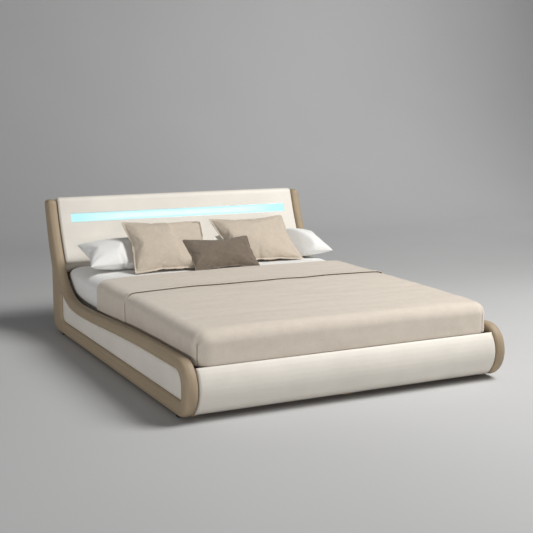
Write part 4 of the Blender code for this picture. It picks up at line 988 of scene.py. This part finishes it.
def pillows(sizes, colours):
    """Two white pillows, two sand cushions and a dark lumbar cushion, leaning on each other."""
    # Percale like the sheet's, a little looser
    white = woven("white cotton pillowcase", tuple(colours.white), 0.8, 0.00015, 0.012, 0.02, 0.12)
    # Linen: uneven slubby yarn that gives the cloth a grain, dry and matt
    sand = woven("sand linen", tuple(colours.cushion), 1.5, 0.0004, 0.07, 0.07, 0.20)
    dark = woven("dark taupe linen", tuple(colours.lumbar), 1.5, 0.0004, 0.16, 0.16, 0.30)
    finishes = {"pillow": (white, "white_cotton"), "cushion": (sand, "sand_linen"), "lumbar": (dark, "dark_linen")}
    pouches = {}
    homes = {}
    rims = {}
    for name, (width, height, crown, flange, *_) in CUSHIONS.items():
        cell = 0.0085 if width > 0.6 else 0.0072
        wide = (width - 2 * flange) * 1.05
        tall = (height - 2 * flange) * 1.07
        bm = pouch(wide, tall, cell, crown * 0.25)
        homes[name] = [(v.co.x / wide * 2, v.co.y / tall * 2, v.co.z) for v in bm.verts]
        bm.faces.index_update()
        rims[name] = [f.index for f in bm.faces if min(v.co.z for v in f.verts) < 0 < max(v.co.z for v in f.verts)]
        pouches[name] = loose(name + "_pouch", bm)
    inflate(list(pouches.values()), sizes.fill_pressure, 22)
    planes = {}
    for word, (name, depth, turn, reach) in PLANES.items():
        x, back, up, lean = CUSHIONS[name][4:8]
        lean = math.radians(lean)
        normal = Matrix.Rotation(math.radians(turn), 3, "Z") @ Vector((0.0, math.cos(lean), -math.sin(lean)))
        planes[word] = (Vector((x, MATTRESS_HEAD - back, SHEET_TOP + up)) + normal * depth, normal, reach)
    for name, (width, height, crown, flange, x, back, up, lean, turn) in CUSHIONS.items():
        bm = stuffed(pouches[name], homes[name], rims[name], (width, height, crown, flange), 0.05)
        bpy.data.objects.remove(pouches[name], do_unlink=True)
        bm.transform(stand_matrix(Vector((x, MATTRESS_HEAD - back, SHEET_TOP + up)), lean, turn))
        for word, way in PRESSES[name]:
            point, normal, reach = planes[word]
            soft_press(bm, point - normal * way * 0.0008, normal * way, reach)
        rest_on_sheet(bm)
        material, slot = finishes[name.split("_")[0]]
        item = piece(name + "_cover", bm, material, "lift_base", slot, [name], 180)
        smooth = item.modifiers.new("smooth", "SUBSURF")
        smooth.levels = smooth.render_levels = 1


def repaint(starts, material):
    """Give the CAD nodes whose names start so, and that stay in view, their finish."""
    for name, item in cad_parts.items():
        if name.startswith(starts):
            item.data.materials.clear()
            item.data.materials.append(material)


def hardware(sizes, colours):
    """Finishes of the wood, steel, plastic and rubber pieces that keep their solids."""
    # Bent birch slats under clear lacquer, pale with a low gloss
    birch = wood("lacquered birch slats", shade("#d9bd93"), shade("#c19f70"), 7.0, "X", 0.42)
    # Planed birch rails, left raw and a shade drier
    rails = wood("planed birch rails", shade("#cfae80"), shade("#b48f5e"), 8.0, "Y", 0.55)
    # Rotary-cut birch plywood: broad flat figure, dull
    ply = wood("raw birch plywood", shade("#c8a87e"), shade("#bd9b70"), 12.0, "Y", 0.7)
    # Powder coat over welded steel: satin with a slight orange peel
    steel = coated("black powder-coated steel", shade("#1d1d1e"), 0.45, 0.8, 0.00006)
    # Ground and chromed piston rod, a clear mirror along its length
    rod = metal("ground chromed steel", shade("#c9cbce"), 0.08, 0.2)
    # Extruded channel with a fine satin anodised skin
    channel = metal("anodised aluminium", shade("#c3c5c8"), 0.35, 0.4)
    # Moulded glass-filled nylon, slightly rough from its mould
    plastic = coated("moulded black plastic", shade("#161616"), 0.50, 0.6, 0.00004)
    # Rubber strip that holds the slat ends, dull and grippy
    rubber = coated("moulded grey rubber", shade("#2c2c2d"), 0.70, 1.0, 0.00008, 1.52)
    # Solder-masked strip that carries the light diodes
    board = coated("white circuit strip", shade("#e8e8e4"), 0.45, 0.5, 0.00003)
    opal = lit_opal("lit opal acrylic", shade("#e2fafb"), shade("#b6f1f5"))
    repaint(("slat_0", "slat_1"), birch)
    repaint(("centre_beam", "floor_ledger", "support_rail"), rails)
    repaint(("foot_board", "floor_panel"), ply)
    repaint(("hinge_bracket", "lift_arm", "lift_frame", "strut_cylinder"), steel)
    repaint(("strut_rod",), rod)
    repaint(("led_channel",), channel)
    repaint(("led_strip",), board)
    repaint(("led_diffuser",), opal)
    repaint(("glide", "power_socket"), plastic)
    repaint(("slat_strip",), rubber)
    repaint(("head_rail",), bpy.data.materials["taupe upholstery leather"])


def area_light(name, place, target, size, power, colour=(1.0, 1.0, 1.0), spread=180.0):
    """A soft rectangular lamp aimed at a point; spread narrows its beam, in degrees."""
    data = bpy.data.lights.new(name, "AREA")
    data.shape = "RECTANGLE"
    data.size, data.size_y = size
    data.energy = power
    data.color = colour
    data.spread = math.radians(spread)
    lamp = bpy.data.objects.new(name, data)
    bpy.context.scene.collection.objects.link(lamp)
    lamp.visible_camera = False
    lamp.location = place
    lamp.rotation_euler = (Vector(target) - Vector(place)).to_track_quat("-Z", "Y").to_euler()


def studio(sizes, colours):
    """The plain floor that runs up into the backdrop, soft lamps and the camera."""
    # Painted studio board: pale grey, matt, with hardly any variation
    material, tree, shader = blank("matt grey studio floor")
    place = node(tree, "ShaderNodeTexCoord").outputs["Object"]
    cloud = noise_on(tree, place, (0.6, 0.6, 0.6))
    base = ramp(tree, cloud, [(0.3, tinted(tuple(colours.floor), -0.02)), (0.7, tinted(tuple(colours.floor), 0.02))])
    tree.links.new(base, shader.inputs["Base Color"])
    shader.inputs["Roughness"].default_value = 0.9
    shader.inputs["Specular IOR Level"].default_value = 0.2
    bm = bmesh.new()
    front = -12.0
    bend = 4.4
    radius = 3.4
    turns = [math.pi / 2 * i / 32 for i in range(33)]
    path = [(front, 0.0)] + [(bend + radius * math.sin(a), radius * (1 - math.cos(a))) for a in turns]
    path.append((bend + radius, 12.0))
    line = [bm.verts.new((-16.0, y, z)) for y, z in path]
    edges = [bm.edges.new(pair) for pair in zip(line, line[1:])]
    made = bmesh.ops.extrude_edge_only(bm, edges=edges)["geom"]
    bmesh.ops.translate(bm, vec=(32.0, 0.0, 0.0), verts=[g for g in made if isinstance(g, bmesh.types.BMVert)])
    bmesh.ops.recalc_face_normals(bm, faces=bm.faces)
    floor = loose("studio_floor", bm)
    for polygon in floor.data.polygons:
        polygon.use_smooth = True
    floor.data.materials.append(material)

    world = bpy.data.worlds.new("studio light")
    bpy.context.scene.world = world
    world.use_nodes = True
    background = world.node_tree.nodes["Background"]
    background.inputs["Color"].default_value = shade("#f4f6f8")
    background.inputs["Strength"].default_value = 0.152
    area_light("key", (3.2, -2.3, 5.1), (0.0, 0.0, 0.3), (2.8, 2.8), 398.0, (1.0, 0.992, 0.98))
    area_light("side fill", (-8.0, -2.5, 0.8), (-0.8, 0.0, 0.5), (4.0, 1.0), 20.0, spread=60.0)
    area_light("front fill", (-1.0, -9.0, 1.2), (0.0, -1.0, 0.4), (4.0, 1.5), 11.0, spread=60.0)
    area_light("backdrop", (5.4, 3.4, 3.9), (5.8, 8.0, 1.3), (4.0, 1.5), 82.0)

    data = bpy.data.cameras.new("camera")
    data.lens = 70.76
    data.sensor_width = 36.0
    camera = bpy.data.objects.new("camera", data)
    bpy.context.scene.collection.objects.link(camera)
    camera.location = (-2.4914, -5.1673, 1.3958)
    camera.rotation_euler = (math.radians(90 - 9.127), 0.0, math.radians(-26.54))
    bpy.context.scene.camera = camera
    bpy.context.scene.view_settings.view_transform = "Standard"


# ---------------------------------------------------------------- settings, operators and panel

class BedSizes(bpy.types.PropertyGroup):
    """Sizes of the upholstery and the bedding that can be changed."""
    frame_round: bpy.props.FloatProperty(
        name="Frame rounding", description="Radius of the side frames' padded edges", default=0.020, unit="LENGTH")
    seam_depth: bpy.props.FloatProperty(
        name="Seam depth", description="Depth of the seam round each side frame's faces", default=0.0008, unit="LENGTH")
    end_round: bpy.props.FloatProperty(
        name="Foot end rounding", description="Radius at both ends of the foot panel", default=0.014, unit="LENGTH")
    pad_round: bpy.props.FloatProperty(
        name="Headboard rounding", description="Radius at both ends of the headboard pad", default=0.014, unit="LENGTH")
    pad_drop: bpy.props.FloatProperty(
        name="Headboard drop", description="How far the pad hangs below its board", default=0.045, unit="LENGTH")
    bed_round: bpy.props.FloatProperty(
        name="Bedspread edge", description="Radius of the bedspread over the mattress edge", default=0.060, unit="LENGTH")
    turn_down_step: bpy.props.FloatProperty(
        name="Turn-down step", description="How far the turned-down hem stands off the bedspread", default=0.0085, unit="LENGTH")
    pleat_depth: bpy.props.FloatProperty(
        name="Pleat depth", description="Depth of the pleats at the bedspread's foot corners", default=0.012, unit="LENGTH")
    sheet_swell: bpy.props.FloatProperty(
        name="Sheet swell", description="How far the sheet swells out beside the pillows", default=0.022, unit="LENGTH")
    fill_pressure: bpy.props.FloatProperty(
        name="Filling", description="Air pressure that fills the pillows and cushions", default=4.0)


class BedColours(bpy.types.PropertyGroup):
    """Colours of the leather, the bedding and the floor that can be changed."""
    taupe: bpy.props.FloatVectorProperty(
        name="Side frames", description="Leather of the side frames", subtype="COLOR", size=4, default=shade("#a8967d"))
    cream: bpy.props.FloatVectorProperty(
        name="Headboard and foot", description="Leather of the headboard, foot end and side panels",
        subtype="COLOR", size=4, default=shade("#e7e1d7"))
    white: bpy.props.FloatVectorProperty(
        name="Sheet", description="Cotton of the sheet and pillows", subtype="COLOR", size=4, default=shade("#eeedea"))
    bedspread: bpy.props.FloatVectorProperty(
        name="Bedspread", description="Brushed cotton of the bedspread", subtype="COLOR", size=4, default=shade("#dacfc1"))
    cushion: bpy.props.FloatVectorProperty(
        name="Cushions", description="Linen of the two cushions", subtype="COLOR", size=4, default=shade("#c9bcab"))
    lumbar: bpy.props.FloatVectorProperty(
        name="Lumbar cushion", description="Linen of the lumbar cushion", subtype="COLOR", size=4, default=shade("#7b6f62"))
    floor: bpy.props.FloatVectorProperty(
        name="Floor", description="Studio floor and backdrop", subtype="COLOR", size=4, default=shade("#c4c4c4"))


def build(action, context):
    """Run one making function with the scene's sizes and colours."""
    action(context.scene.bed_sizes, context.scene.bed_colours)
    return {"FINISHED"}


class BED_OT_side_frames(bpy.types.Operator):
    """Make the looped side frames and the panels in them"""
    bl_idname = "bed.side_frames"
    bl_label = "Side Frames"

    def execute(self, context):
        """Make the pieces."""
        return build(side_frames, context)


class BED_OT_foot_end(bpy.types.Operator):
    """Make the rolled foot panel"""
    bl_idname = "bed.foot_end"
    bl_label = "Foot End"

    def execute(self, context):
        """Make the piece."""
        return build(foot_end, context)


class BED_OT_headboard(bpy.types.Operator):
    """Make the headboard pad with its groove, and its back"""
    bl_idname = "bed.headboard"
    bl_label = "Headboard"

    def execute(self, context):
        """Make the pieces."""
        return build(headboard, context)


class BED_OT_mattress(bpy.types.Operator):
    """Make the mattress"""
    bl_idname = "bed.mattress"
    bl_label = "Mattress"

    def execute(self, context):
        """Make the piece."""
        return build(sprung_mattress, context)


class BED_OT_fitted_sheet(bpy.types.Operator):
    """Make the sheet over the mattress"""
    bl_idname = "bed.fitted_sheet"
    bl_label = "Fitted Sheet"

    def execute(self, context):
        """Make the piece."""
        return build(fitted_sheet, context)


class BED_OT_bedspread(bpy.types.Operator):
    """Make the bedspread and its turned-down head part"""
    bl_idname = "bed.bedspread"
    bl_label = "Bedspread"

    def execute(self, context):
        """Make the pieces."""
        return build(bedspread, context)


class BED_OT_pillows(bpy.types.Operator):
    """Make and fill the pillows and cushions"""
    bl_idname = "bed.pillows"
    bl_label = "Pillows and Cushions"

    def execute(self, context):
        """Make the pieces."""
        return build(pillows, context)


class BED_OT_hardware(bpy.types.Operator):
    """Finish the wood, steel, plastic and rubber pieces"""
    bl_idname = "bed.hardware"
    bl_label = "Wood and Hardware"

    def execute(self, context):
        """Give the pieces their finishes."""
        return build(hardware, context)


class BED_OT_studio(bpy.types.Operator):
    """Make the floor, the lamps and the camera"""
    bl_idname = "bed.studio"
    bl_label = "Studio"

    def execute(self, context):
        """Make the stage."""
        return build(studio, context)


class BED_PT_panel(bpy.types.Panel):
    """The bed's pieces in the sidebar"""
    bl_label = "Storage Bed"
    bl_idname = "BED_PT_panel"
    bl_space_type = "VIEW_3D"
    bl_region_type = "UI"
    bl_category = "Bed"

    def draw(self, context):
        """List the sizes, the colours and one button for each group of pieces."""
        for group in (context.scene.bed_sizes, context.scene.bed_colours):
            for key in group.__annotations__:
                self.layout.prop(group, key)
        for made in OPERATORS:
            self.layout.operator(made.bl_idname)


OPERATORS = (
    BED_OT_side_frames, BED_OT_foot_end, BED_OT_headboard, BED_OT_mattress, BED_OT_fitted_sheet,
    BED_OT_bedspread, BED_OT_pillows, BED_OT_hardware, BED_OT_studio,
)
CLASSES = (BedSizes, BedColours, *OPERATORS, BED_PT_panel)


def register():
    """Register the settings, the operators and the panel."""
    for made in CLASSES:
        bpy.utils.register_class(made)
    bpy.types.Scene.bed_sizes = bpy.props.PointerProperty(type=BedSizes)
    bpy.types.Scene.bed_colours = bpy.props.PointerProperty(type=BedColours)


def unregister():
    """Take the settings, the operators and the panel away again."""
    del bpy.types.Scene.bed_sizes
    del bpy.types.Scene.bed_colours
    for made in reversed(CLASSES):
        bpy.utils.unregister_class(made)


def main():
    """Make every piece in order."""
    register()
    bpy.ops.bed.side_frames()
    bpy.ops.bed.foot_end()
    bpy.ops.bed.headboard()
    bpy.ops.bed.mattress()
    bpy.ops.bed.fitted_sheet()
    bpy.ops.bed.bedspread()
    bpy.ops.bed.pillows()
    bpy.ops.bed.hardware()
    bpy.ops.bed.studio()
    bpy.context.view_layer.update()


if __name__ == "__main__":
    main()
